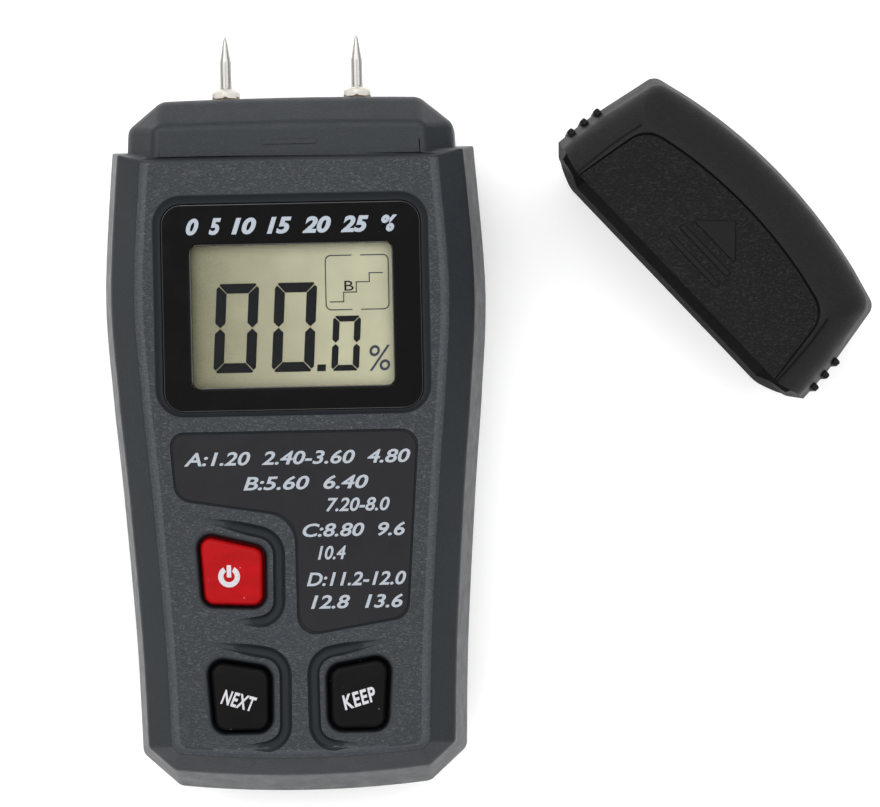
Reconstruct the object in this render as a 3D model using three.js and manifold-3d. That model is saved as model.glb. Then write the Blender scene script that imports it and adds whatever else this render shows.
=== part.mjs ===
// Pin-type wood moisture meter with its pull-off pin cap lying beside it. All sizes are in millimetres.
// X runs across the meter, Y points along the pins and Z rises from the flat back. The origin is on the back.
// The case is two half shells that meet halfway up. Their outlines are polygons whose edges move inwards with
// height, so a shell is a loft of a few rings, and a hollow is the same loft moved in by the wall.
import * as THREE from "three";
import { mergeVertices } from "three/addons/utils/BufferGeometryUtils.js";
import Module from "manifold-3d";

const wasm = await Module();
wasm.setup();

// ---- Case ----
const BODY_WIDTH = 63.7; // at its widest
const BODY_LENGTH = 107.5; // shoulder edge to the lowest point
const BODY_THICKNESS = 28;
const SHOULDER_Y = 49.5;
const SHOULDER_INSET = 1.55; // how much narrower than the widest place, each side
const WIDEST_DROP = 23.5; // below the shoulder
// The side runs through these places between its widest and its foot: [inset, drop below the shoulder].
const SIDE_PLACES = [[4.05, 82], [2.35, 57.5], [0.92, 41]];
const FOOT_INSET = 4.7;
const FOOT_CORNER_RISE = 6.8; // where the side ends and the corner cut starts, above the lowest point
const FOOT_CORNER_RUN = 6.2; // how far the corner cut reaches along the foot
const FOOT_RADIUS = 185;
const CORNER_ROUNDING = 2;
const SHELL_WALL = 2;
const FACE_WALL = 2.4;
const BACK_WALL = 2.2;
const BEVEL_HEIGHT = 4;

// How far each kind of edge moves in: at the top of the steep skirt, then at the flat face.
const SIDE_INSETS = [2, 6.7];
const SHOULDER_INSETS = [1.2, 2.7];
const FOOT_INSETS = [3.9, 7.6];
const CORNER_INSETS = [2.9, 6.5];

// ---- Nose ----
const NOSE_STEP = 2.7; // narrower than the shoulder, each side
const NOSE_TAPER = 0.45; // each side, up to the corner cut
const NOSE_LENGTH = 8.3; // beyond the shoulder
const NOSE_CORNER_RUN = 5.6;
const NOSE_CORNER_RISE = 4.6;
const NOSE_CROWN = 0.3; // how far the middle of the top stands above its ends
const NOSE_DROP = 2.3; // below the case's faces
const NOSE_BEVEL_HEIGHT = 5;
const NOSE_WALL = 1.8;
const NOSE_SIDE_INSETS = [0.3, 5.2];
const NOSE_TOP_INSETS = [0.2, 5];
const NOSE_CORNER_INSETS = [0.3, 3.9];
const DETENT = { width: 9, depth: 0.8, height: 0.3, rise: 0.3 }; // raised line that holds the cap

// ---- Probes ----
const PIN_SPACING = 22;
const PIN_REACH = 10.7; // beyond the nose
const PIN_RADIUS = 0.95;
const PIN_CONE = 4;
const PIN_TIP_RADIUS = 0.25;
const STUD_RADIUS = 1.2;
const STUD_LENGTH = 6;
const STUD_TAPER = 0.3; // length over which the stud narrows to the pin
const NUT_ACROSS_FLATS = 4.5;
const NUT_HEIGHT = 1.6;
const NUT_CHAMFER = { back: 0.2, front: 0.9, faceShare: 0.8 }; // where its corners start and end
const NUT_GAP = 0.3; // between the nut and the nose, and between the pin and what it passes through
const SOCKET_RADIUS = 2.5;
const SOCKET_LENGTH = 8;
const SOCKET_FLANGE = { radius: 3.5, thickness: 1.5, gap: 0.3 };
const SOCKET_TAIL = { radius: 1, length: 3 };
const SOCKET_CLEARANCE = 0.15;

// ---- Display ----
const LENS_WIDTH = 42.2;
const LENS_HEIGHT = 33.75;
const LENS_DROP = 9.9; // top of the lens below the shoulder
const LENS_CORNER = 3.3;
const LENS_THICKNESS = 1;
const LENS_DEPTH = 0.7; // its top below the face
const LENS_CLEARANCE = 0.2;
const RING_MARGIN = 1.9; // sloping ring round the lens
const WINDOW_WIDTH = 36.4; // opening in the ledge under the lens
const WINDOW_HEIGHT = 26.6;
const WINDOW_BELOW_SHOULDER = 28.2; // centre of the display
const LCD_WIDTH = 36;
const LCD_HEIGHT = 27;
const LCD_THICKNESS = 2;
const LCD_GAP = 0.3; // under the ledge, and inside its holder
const HOLDER_RIM = 1;
const ZEBRA_DEPTH = 2;
const ZEBRA_INSET = 1.3; // from the edge of the display glass

// ---- Circuit board ----
const BOARD_THICKNESS = 1.6;
const BOARD_BELOW_FACE = 6.1; // its top
const BOARD_WIDTH = 43;
const BOARD_TOP_DROP = 11; // below the shoulder
const BOARD_FOOT_RISE = 9; // above the lowest point
const BOARD_SCREW_X = 18.8;
const BOARD_SCREW_RISES = [50, 12]; // above the lowest point
const BOARD_SCREW = { head: 1.8, headHeight: 1.2, shank: 0.8, bite: 3 };
const BOARD_BOSS_RADIUS = 2.2;
const SCREW_CLEARANCE = 0.3;

// ---- Case screws ----
const CASE_SCREW_X = 20;
const CASE_SCREW_DROPS = [9.5, 47]; // below the shoulder
const SCREW_TIP_GAP = 0.3;
const CASE_SCREW = { head: 2.3, headHeight: 1.8, shank: 1.1, bite: 8 };
const CASE_BOSS_RADIUS = 3;
const COUNTERBORE_DEPTH = 8;
const PARTING_GAP = 0.1; // between the bosses of the two shells

// ---- Buttons ----
// Corners are [x, y, rounding] from the button's centre.
const POWER_CORNERS = [[-4.5, -4.8, 1.6], [4.8, -5.2, 1.6], [4.9, 3.8, 1.6], [-5.2, 6.3, 1.6]];
const POWER_X = -10.55;
const POWER_RISE = 37.4; // above the lowest point
const KEY_CORNERS = [[-4.1, -5.2, 1.8], [4.5, -5.2, 1.9], [4.6, 4.5, 1.9], [-4.9, 6.2, 1.9]];
const KEY_X = 9.6; // mode on the left, hold mirrored on the right
const KEY_RISE = 17.1;
const BUTTON_PROUD = 0.8;
const BUTTON_DOME_INSET = 0.9;
const BUTTON_DOME_HEIGHT = 0.7;
const BUTTON_TRAVEL = 0.5;
const WELL_GAP = 0.9;
const FLANGE_MARGIN = 1.7;
const FLANGE_THICKNESS = 0.8;
const SWITCH_SIDE = 6;
const SWITCH_HEIGHT = 3.5;
const SWITCH_POCKET_GAP = 0.6;
const PLUNGER_RADIUS = 1.7;
const PLUNGER_STAND = 0.9; // above the switch
const PLUNGER_DEPTH = 0.8; // inside the switch
const PLUNGER_GAP = 0.25;

// ---- Label plate ----
const LABEL_THICKNESS = 0.3;
const LABEL_DEPTH = 0.1; // its top below the face
const LABEL_CLEARANCE = 0.3;
const LABEL_BELOW_LENS = 3.75;

// ---- Battery bay ----
const BATTERY = { width: 26.5, length: 46.4, height: 17.5, terminalLength: 2.1, terminalRadius: 3.2 };
const BATTERY_GAP = 0.3; // to the back and to the foot's wall
const BATTERY_TERMINAL_SPACING = 12.7;
const BAY_GAP = 0.65; // each side of the battery at the door opening
const DOOR_TOP_OVERLAP = 2.3; // how far the back covers the battery's upper end
const DOOR_CLEARANCE = 0.3;
const DOOR_HEADROOM = 0.5; // above the door, under the end wall of the case
const DOOR_TONGUE = { reach: 0.9, lift: 1 };
const GRIP = { width: 16, length: 9, depth: 0.6, ribs: 4, ribWidth: 0.9, ribTop: 0.1, drop: 5 };
const BAY_RIB = 1.2;
const RIB_BITE = 0.5; // how far a rib runs into the wall beside it
const CONNECTOR = { width: 25, height: 16, thickness: 3, gap: 0.3 };
const END_WALL_GAP = 1.4;
const WIRE_NOTCH = { width: 8, floor: 8 }; // in the end wall, for the leads
const LEAD_RADIUS = 0.65;
// Places along the leads: the straight start, the rise towards the board and the end under it.
const PROBE_LEAD = { straight: 3, lift: 0.2, rise: { run: 1.5, lift: 2 }, boardEdge: 3 };
const BATTERY_LEAD = { x: 2, straight: 3, lift: 0.4, rise: { run: 6, lift: 3 }, boardEdge: 9 };

// ---- Cap ----
const CAP_SHOULDER_STEP = 0.55; // narrower than the shoulder, each side
const CAP_LENGTH = 26; // from the front edge of the mouth to the crown
const CAP_CORNER_DROP = 4; // the crown's corners below its middle
const CAP_CORNER_INSET = 3;
const CAP_BULGE = 0.45; // how far the middle of each side stands out of a straight line
const CAP_WALL = 2.1;
const CAP_CLEARANCE = 0.35; // round the nose
const CAP_SEAT_GAP = 0.3; // to the shoulder when it is on
const CAP_CROWN_INSETS = [2, 9.2];
const CAP_CORNER_ROUNDING = 2;
const CAP_PANEL = { depth: 0.5, sideInset: 0.6, topDrop: 9.9 };
const CAP_RIBS = { first: 5, pitch: 2.7, count: 3, width: 1.3, proud: 0.6, height: 9 };
const CAP_PLACE = { x: 62.7, y: 26.05, turn: THREE.MathUtils.degToRad(-47.5) };

// ---- Derived places ----
const HALF = BODY_THICKNESS / 2;
const SKIRT = HALF - BEVEL_HEIGHT;
const FOOT_Y = SHOULDER_Y - BODY_LENGTH;
const FACE_Z = BODY_THICKNESS;
const ROOF_Z = FACE_Z - FACE_WALL;
const SIDE_X = BODY_WIDTH / 2;
const SHOULDER_X = SIDE_X - SHOULDER_INSET;
const NOSE_X = SHOULDER_X - NOSE_STEP;
const NOSE_TOP_Y = SHOULDER_Y + NOSE_LENGTH;
const NOSE_HALF = HALF - NOSE_DROP;
const PIN_X = PIN_SPACING / 2;
const NUT_Y = NOSE_TOP_Y + NUT_GAP;
const LENS_Y = SHOULDER_Y - LENS_DROP - LENS_HEIGHT / 2;
const LENS_TOP_Z = FACE_Z - LENS_DEPTH;
const LCD_Y = SHOULDER_Y - WINDOW_BELOW_SHOULDER;
const LEDGE_Z = ROOF_Z;
const LCD_TOP_Z = LEDGE_Z - LCD_GAP;
const BOARD_Z = FACE_Z - BOARD_BELOW_FACE;
const BOARD_UNDER_Z = BOARD_Z - BOARD_THICKNESS;
const BATTERY_ABOVE_BACK = BACK_WALL + BATTERY_GAP;
const FOOT_WALL_DEPTH = insetAt(FOOT_INSETS, SKIRT, HALF, HALF - BATTERY_ABOVE_BACK, SHELL_WALL);
const FOOT_ARC_RISE = (BATTERY.width / 2) ** 2 / (2 * FOOT_RADIUS);
const BATTERY_Y = FOOT_Y + FOOT_WALL_DEPTH + FOOT_ARC_RISE + BATTERY_GAP;
const BATTERY_END_Y = BATTERY_Y + BATTERY.length;
const TERMINAL_END_Y = BATTERY_END_Y + BATTERY.terminalLength;
const DOOR_OPENING_X = BATTERY.width / 2 + BAY_GAP;
const DOOR_OPENING_Y = TERMINAL_END_Y - DOOR_TOP_OVERLAP;
const GROOVE_X = DOOR_OPENING_X + DOOR_TONGUE.reach;
const DOOR_THICKNESS = BACK_WALL - DOOR_CLEARANCE;
const DOOR_CUT_Z = DOOR_THICKNESS + DOOR_HEADROOM;
const CONNECTOR_Y = TERMINAL_END_Y + CONNECTOR.gap;
const END_WALL_Y = CONNECTOR_Y + CONNECTOR.thickness + END_WALL_GAP;
const CASE_SCREWS = CASE_SCREW_DROPS.flatMap(
  (drop) => [-1, 1].map((side) => [side * CASE_SCREW_X, SHOULDER_Y - drop]));
const BOARD_SCREWS = BOARD_SCREW_RISES.flatMap(
  (rise) => [-1, 1].map((side) => [side * BOARD_SCREW_X, FOOT_Y + rise]));
const ROUND_SIDES = 20;
const SMALL_SIDES = 12;
const CORNER_STEPS = 4;
const LONGEST_ROUNDING = 0.45; // share of an edge that one corner's rounding may take

// ---- Solids ----
function toSolid(geometry) {
  const bare = geometry.clone();
  bare.deleteAttribute("normal");
  bare.deleteAttribute("uv");
  const merged = mergeVertices(bare, 1e-4);
  const corners = merged.index.array;
  const kept = [];
  for (let i = 0; i < corners.length; i += 3) {
    const [a, b, c] = corners.slice(i, i + 3);
    if (a !== b && b !== c && c !== a) kept.push(a, b, c);
  }
  const vertProperties = new Float32Array(merged.attributes.position.array);
  return new wasm.Manifold(new wasm.Mesh({ numProp: 3, vertProperties, triVerts: new Uint32Array(kept) }));
}

function toGeometry(solid) {
  const { vertProperties, triVerts } = solid.getMesh();
  const geometry = new THREE.BufferGeometry();
  geometry.setAttribute("position", new THREE.BufferAttribute(vertProperties, 3));
  geometry.setIndex(new THREE.BufferAttribute(triVerts, 1));
  return geometry;
}

function box([x0, x1], [y0, y1], [z0, z1]) {
  const geometry = new THREE.BoxGeometry(x1 - x0, y1 - y0, z1 - z0);
  return toSolid(geometry.translate((x0 + x1) / 2, (y0 + y1) / 2, (z0 + z1) / 2));
}

function post(radius, [x, y], [z0, z1], sides = ROUND_SIDES) {
  const geometry = new THREE.CylinderGeometry(radius, radius, z1 - z0, sides);
  return toSolid(geometry.rotateX(Math.PI / 2).translate(x, y, (z0 + z1) / 2));
}

function prism(points, [z0, z1]) {
  const options = { depth: z1 - z0, bevelEnabled: false };
  const geometry = new THREE.ExtrudeGeometry(new THREE.Shape(points), options);
  return toSolid(geometry.translate(0, 0, z0));
}

// Round piece along Y: profile is [radius, y] from the axis back to the axis, y rising.
function turned(profile, [x, z], sides = ROUND_SIDES) {
  const points = profile.map(([radius, y]) => new THREE.Vector2(radius, y));
  return toSolid(new THREE.LatheGeometry(points, sides).translate(x, 0, z));
}

function joined(solids) {
  return solids.reduce((sum, solid) => sum.add(solid));
}

function cutBy(solid, tools) {
  return tools.reduce((rest, tool) => rest.subtract(tool), solid);
}

// Closed solid through rings { z, points } with the same number of points, lowest first.
function loft(rings) {
  const count = rings[0].points.length;
  const positions = rings.flatMap(({ z, points }) => points.flatMap(({ x, y }) => [x, y, z]));
  const index = [];
  for (let ring = 1; ring < rings.length; ring += 1) {
    for (let i = 0; i < count; i += 1) {
      const low = (ring - 1) * count;
      const high = ring * count;
      const next = (i + 1) % count;
      index.push(low + i, low + next, high + next, low + i, high + next, high + i);
    }
  }
  const top = (rings.length - 1) * count;
  const lid = (points) => THREE.ShapeUtils.triangulateShape(points, []);
  lid(rings[0].points).forEach(([a, b, c]) => index.push(a, c, b));
  lid(rings.at(-1).points).forEach(([a, b, c]) => index.push(top + a, top + b, top + c));
  const geometry = new THREE.BufferGeometry();
  geometry.setAttribute("position", new THREE.Float32BufferAttribute(positions, 3));
  geometry.setIndex(index);
  return toSolid(geometry);
}

// ---- Outlines, counterclockwise ----
function insetCorner(before, corner, after, insetBefore, insetAfter) {
  const outward = (from, to) => new THREE.Vector2(to.y - from.y, from.x - to.x).normalize();
  const a = outward(before, corner);
  const b = outward(corner, after);
  const turn = a.cross(b);
  const aReach = a.dot(corner) - insetBefore;
  const bReach = b.dot(corner) - insetAfter;
  if (Math.abs(turn) < 1e-6) return corner.clone().addScaledVector(a, -insetBefore);
  return new THREE.Vector2((aReach * b.y - bReach * a.y) / turn, (bReach * a.x - aReach * b.x) / turn);
}

// Moves edge i, from point i to point i + 1, inwards by insets[i].
function insetOutline(points, insets) {
  const count = points.length;
  return points.map((corner, i) => {
    const last = (i + count - 1) % count;
    return insetCorner(points[last], corner, points[(i + 1) % count], insets[last], insets[i]);
  });
}

function grown(points, margin) {
  return insetOutline(points, points.map(() => -margin));
}

// Rounds each corner by its own radius, 0 leaving it sharp. A short edge limits the rounding.
function rounded(points, radii, steps = CORNER_STEPS) {
  return points.flatMap((corner, i) => {
    if (!radii[i]) return [corner];
    const before = points.at(i - 1).clone().sub(corner);
    const after = points[(i + 1) % points.length].clone().sub(corner);
    const shortest = Math.min(before.length(), after.length());
    before.normalize();
    after.normalize();
    const halfAngle = Math.acos(THREE.MathUtils.clamp(before.dot(after), -1, 1)) / 2;
    const reach = Math.min(radii[i] / Math.tan(halfAngle), LONGEST_ROUNDING * shortest);
    const centre = before.clone().add(after).setLength(reach / Math.cos(halfAngle)).add(corner);
    const start = before.multiplyScalar(reach).add(corner).sub(centre);
    const end = after.multiplyScalar(reach).add(corner).sub(centre);
    const sweep = Math.atan2(start.cross(end), start.dot(end));
    return Array.from({ length: steps + 1 }, (_, step) =>
      start.clone().rotateAround(new THREE.Vector2(), (sweep * step) / steps).add(centre));
  });
}

function rectangle(width, height, centreY) {
  const [x, y] = [width / 2, height / 2];
  return [[-x, -y], [x, -y], [x, y], [-x, y]].map(([a, b]) => new THREE.Vector2(a, b + centreY));
}

// A right half, from the foot up, with its mirror image.
function mirrored(rightHalf) {
  const left = rightHalf.filter(({ point }) => point.x > 0).reverse();
  const points = rightHalf.concat(left.map(({ point, rounding }) => (
    { point: new THREE.Vector2(-point.x, point.y), rounding })));
  return { points: points.map(({ point }) => point), roundings: points.map(({ rounding }) => rounding || 0) };
}

// An inset that grows with height above the parting plane, along straight stretches. A wall moves it in
// square to each stretch, so the deepest stretch counts.
function insetAt([skirtInset, faceInset], skirt, half, height, wall = 0) {
  const stretches = [[0, 0, skirtInset, skirt], [skirtInset, skirt, faceInset, half]];
  return Math.max(...stretches.map(([inset0, height0, inset1, height1]) => {
    const slope = (inset1 - inset0) / (height1 - height0);
    return inset0 + slope * (height - height0) + wall * Math.hypot(1, slope);
  }));
}

// ---- Case outline ----
const sideCurve = new THREE.SplineCurve([
  new THREE.Vector2(SIDE_X - FOOT_INSET, FOOT_Y + FOOT_CORNER_RISE),
  ...SIDE_PLACES.map(([inset, drop]) => new THREE.Vector2(SIDE_X - inset, SHOULDER_Y - drop)),
  new THREE.Vector2(SIDE_X, SHOULDER_Y - WIDEST_DROP),
  new THREE.Vector2(SHOULDER_X, SHOULDER_Y),
]);
const SIDE_STEPS = 10;
const FOOT_STEPS = 3;

function footPoints() {
  const reach = SIDE_X - FOOT_INSET - FOOT_CORNER_RUN;
  return Array.from({ length: FOOT_STEPS + 1 }, (_, step) => {
    const x = (reach * step) / FOOT_STEPS;
    return { point: new THREE.Vector2(x, FOOT_Y + x ** 2 / (2 * FOOT_RADIUS)), kind: FOOT_INSETS };
  });
}

function caseOutline() {
  const foot = footPoints();
  foot.at(-1).rounding = CORNER_ROUNDING;
  const side = sideCurve.getPoints(SIDE_STEPS).map((point) => ({ point }));
  side[0].rounding = CORNER_ROUNDING;
  return mirrored([...foot, ...side]);
}

// Kinds of the case's edges in the order of its points.
function caseEdges() {
  const right = [
    ...Array(FOOT_STEPS).fill(FOOT_INSETS),
    CORNER_INSETS,
    ...Array(SIDE_STEPS).fill(SIDE_INSETS),
  ];
  return [...right, SHOULDER_INSETS, ...right.toReversed()];
}

function caseRing(height, wall = 0) {
  const { points, roundings } = caseOutline();
  const insets = caseEdges().map((kind) => insetAt(kind, SKIRT, HALF, height, wall));
  return rounded(insetOutline(points, insets), roundings);
}

function noseOutline() {
  const cornerY = NOSE_TOP_Y - NOSE_CROWN - NOSE_CORNER_RISE;
  const cornerX = NOSE_X - NOSE_TAPER;
  return mirrored([
    { point: new THREE.Vector2(NOSE_X, SHOULDER_Y - 2 * SHOULDER_INSETS[1]) },
    { point: new THREE.Vector2(cornerX, cornerY), rounding: 1 },
    { point: new THREE.Vector2(cornerX - NOSE_CORNER_RUN, cornerY + NOSE_CORNER_RISE), rounding: 1 },
    { point: new THREE.Vector2(0, NOSE_TOP_Y) },
  ]);
}

// The nose's root edge lies inside the case and doesn't move.
function noseRing(height, wall = 0) {
  const { points, roundings } = noseOutline();
  const kinds = [NOSE_SIDE_INSETS, NOSE_CORNER_INSETS, NOSE_TOP_INSETS];
  const insets = [...kinds, ...kinds.toReversed()].map(
    (kind) => insetAt(kind, NOSE_HALF - NOSE_BEVEL_HEIGHT, NOSE_HALF, height, wall));
  return rounded(insetOutline(points, [...insets, 0]), roundings, 2);
}

// Rings from the parting plane to the top, in front of it or behind it.
function halfLoft(ringAt, heights, side) {
  const rings = heights.map((height) => ({ z: HALF + side * height, points: ringAt(height) }));
  return loft(side > 0 ? rings : rings.reverse());
}

// Height at which the inner faces of skirt and bevel meet.
function innerBreak([skirtInset, faceInset], skirt, half, wall) {
  const skirtSlope = skirtInset / skirt;
  const bevelSlope = (faceInset - skirtInset) / (half - skirt);
  const widening = wall * (Math.hypot(1, bevelSlope) - Math.hypot(1, skirtSlope));
  return skirt - widening / (bevelSlope - skirtSlope);
}

function halfShell(side, faceWall) {
  const caseBreak = innerBreak(SIDE_INSETS, SKIRT, HALF, SHELL_WALL);
  const noseSkirt = NOSE_HALF - NOSE_BEVEL_HEIGHT;
  const noseBreak = innerBreak(NOSE_SIDE_INSETS, noseSkirt, NOSE_HALF, NOSE_WALL);
  const outer = halfLoft((height) => caseRing(height), [0, SKIRT, HALF], side);
  const nose = halfLoft((height) => noseRing(height), [0, noseSkirt, NOSE_HALF], side);
  const hollow = halfLoft((height) => caseRing(height, SHELL_WALL), [0, caseBreak, HALF - faceWall], side);
  const noseHollow = halfLoft(
    (height) => noseRing(height, NOSE_WALL), [0, noseBreak, NOSE_HALF - NOSE_WALL], side);
  return { skin: outer.add(nose), hollow: hollow.add(noseHollow) };
}

// ---- Buttons ----
function cornersToOutline(corners, [x, y], flip = 1) {
  const placed = corners.map(([dx, dy, radius]) => [x + flip * dx, y + dy, radius]);
  const ordered = flip > 0 ? placed : placed.toReversed();
  return {
    points: ordered.map(([px, py]) => new THREE.Vector2(px, py)),
    radii: ordered.map(([, , radius]) => radius),
  };
}

const BUTTONS = [
  { name: "power", at: [POWER_X, FOOT_Y + POWER_RISE], corners: POWER_CORNERS, flip: 1, color: 0xb81c20 },
  { name: "mode", at: [-KEY_X, FOOT_Y + KEY_RISE], corners: KEY_CORNERS, flip: 1, color: 0x17181a },
  { name: "hold", at: [KEY_X, FOOT_Y + KEY_RISE], corners: KEY_CORNERS, flip: -1, color: 0x17181a },
];
const BUTTON_TOP_Z = FACE_Z + BUTTON_PROUD;
const SWITCH_TOP_Z = BOARD_Z + SWITCH_HEIGHT;
const PLUNGER_TOP_Z = SWITCH_TOP_Z + PLUNGER_STAND;
const FLANGE_TOP_Z = ROOF_Z - DOOR_CLEARANCE;

function buttonOutline(button, margin) {
  const { points, radii } = cornersToOutline(button.corners, button.at, button.flip);
  return rounded(grown(points, margin), radii.map((radius) => Math.max(radius + margin, 0.3)));
}

function buttonSolid(button) {
  const flangeZ = [FLANGE_TOP_Z - FLANGE_THICKNESS, FLANGE_TOP_Z];
  const domeZ = BUTTON_TOP_Z - BUTTON_DOME_HEIGHT;
  const cap = loft([
    { z: flangeZ[0], points: buttonOutline(button, 0) },
    { z: domeZ, points: buttonOutline(button, 0) },
    { z: BUTTON_TOP_Z, points: buttonOutline(button, -BUTTON_DOME_INSET) },
  ]);
  const pocket = SWITCH_SIDE / 2 + SWITCH_POCKET_GAP;
  const [x, y] = button.at;
  return cap
    .add(prism(buttonOutline(button, FLANGE_MARGIN), flangeZ))
    .subtract(box([x - pocket, x + pocket], [y - pocket, y + pocket], [flangeZ[0] - 1, PLUNGER_TOP_Z]));
}

function switchSolid({ at: [x, y] }) {
  const side = SWITCH_SIDE / 2;
  const well = [SWITCH_TOP_Z - PLUNGER_DEPTH - BUTTON_TRAVEL - PLUNGER_GAP, SWITCH_TOP_Z + 1];
  return box([x - side, x + side], [y - side, y + side], [BOARD_Z, SWITCH_TOP_Z])
    .subtract(post(PLUNGER_RADIUS + PLUNGER_GAP, [x, y], well, SMALL_SIDES));
}

function plungerSolid({ at }) {
  return post(PLUNGER_RADIUS, at, [SWITCH_TOP_Z - PLUNGER_DEPTH, PLUNGER_TOP_Z], SMALL_SIDES);
}

// ---- Label plate ----
// An L that fills the space above and to the right of the power button.
function labelOutline(margin) {
  const top = SHOULDER_Y - LENS_DROP - LENS_HEIGHT - LABEL_BELOW_LENS;
  const corners = [
    [0.2, FOOT_Y + 27.1, 3],
    [17.75, FOOT_Y + 30, 2.8],
    [19.95, top, 2.6],
    [-20.15, top + 0.1, 2.2],
    [-19.4, FOOT_Y + 49.75, 3],
    [0.05, FOOT_Y + 46.65, 5],
  ];
  const { points, radii } = cornersToOutline(corners, [0, 0]);
  return rounded(grown(points, margin), radii);
}

function labelSolid() {
  const top = FACE_Z - LABEL_DEPTH;
  return prism(labelOutline(0), [top - LABEL_THICKNESS, top]);
}

// ---- Display ----
function lensOutline(margin) {
  const points = grown(rectangle(LENS_WIDTH, LENS_HEIGHT, LENS_Y), margin);
  return rounded(points, points.map(() => LENS_CORNER + margin));
}

function lensCuts() {
  const seatZ = LENS_TOP_Z - LENS_THICKNESS;
  const slope = [
    { z: LENS_TOP_Z, points: lensOutline(LENS_CLEARANCE) },
    { z: FACE_Z, points: lensOutline(RING_MARGIN) },
    { z: FACE_Z + 1, points: lensOutline(RING_MARGIN) },
  ];
  const [halfX, halfY] = [WINDOW_WIDTH / 2, WINDOW_HEIGHT / 2];
  return [
    loft(slope),
    prism(lensOutline(LENS_CLEARANCE), [seatZ, FACE_Z]),
    box([-halfX, halfX], [LCD_Y - halfY, LCD_Y + halfY], [LEDGE_Z - 1, FACE_Z]),
  ];
}

function lensSolid() {
  return prism(lensOutline(0), [LENS_TOP_Z - LENS_THICKNESS, LENS_TOP_Z]);
}

function lcdSolid() {
  const [x, y] = [LCD_WIDTH / 2, LCD_HEIGHT / 2];
  return box([-x, x], [LCD_Y - y, LCD_Y + y], [LCD_TOP_Z - LCD_THICKNESS, LCD_TOP_Z]);
}

function holderSolid() {
  const [x, y] = [LCD_WIDTH / 2 + LCD_GAP, LCD_HEIGHT / 2 + LCD_GAP];
  const span = [BOARD_Z, LEDGE_Z - LCD_GAP];
  return box([-x - HOLDER_RIM, x + HOLDER_RIM], [LCD_Y - y - HOLDER_RIM, LCD_Y + y + HOLDER_RIM], span)
    .subtract(box([-x, x], [LCD_Y - y, LCD_Y + y], [span[0] - 1, span[1] + 1]));
}

function zebraSolid(side) {
  const outer = LCD_HEIGHT / 2 - ZEBRA_INSET;
  const edges = [side * outer, side * (outer - ZEBRA_DEPTH)].map((y) => LCD_Y + y);
  const x = LCD_WIDTH / 2 - ZEBRA_INSET;
  return box([-x, x], [Math.min(...edges), Math.max(...edges)], [BOARD_Z, LCD_TOP_Z - LCD_THICKNESS]);
}

// ---- Shells ----
function frontShell() {
  const { skin, hollow } = halfShell(1, FACE_WALL);
  const caseBosses = CASE_SCREWS.map((at) => post(CASE_BOSS_RADIUS, at, [HALF + PARTING_GAP, ROOF_Z + 1]));
  const boardBosses = BOARD_SCREWS.map((at) => (
    post(BOARD_BOSS_RADIUS, at, [BOARD_Z, ROOF_Z + 1], SMALL_SIDES)));
  const detentY = SHOULDER_Y + DETENT.rise;
  const detentZ = HALF + NOSE_HALF;
  const detent = box(
    [-DETENT.width / 2, DETENT.width / 2],
    [detentY - DETENT.depth / 2, detentY + DETENT.depth / 2],
    [detentZ - 1, detentZ + DETENT.height]);
  const screwSpan = [HALF - 1, HALF + CASE_SCREW.bite + 1];
  const screwHoles = CASE_SCREWS.map((at) => (
    post(CASE_SCREW.shank + SCREW_CLEARANCE, at, screwSpan, SMALL_SIDES)));
  const boardSpan = [BOARD_Z - 1, BOARD_Z + BOARD_SCREW.bite + SCREW_TIP_GAP];
  const boardHoles = BOARD_SCREWS.map((at) => (
    post(BOARD_SCREW.shank + SCREW_CLEARANCE, at, boardSpan, SMALL_SIDES)));
  const wells = BUTTONS.map((button) => prism(buttonOutline(button, WELL_GAP), [ROOF_Z - 1, FACE_Z + 1]));
  const labelBed = prism(
    labelOutline(LABEL_CLEARANCE), [FACE_Z - LABEL_DEPTH - LABEL_THICKNESS, FACE_Z + 1]);
  const solid = joined([skin.subtract(hollow), ...caseBosses, ...boardBosses, detent]);
  return cutBy(solid, [...screwHoles, ...boardHoles, ...wells, labelBed, ...lensCuts(), ...socketHoles()]);
}

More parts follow.
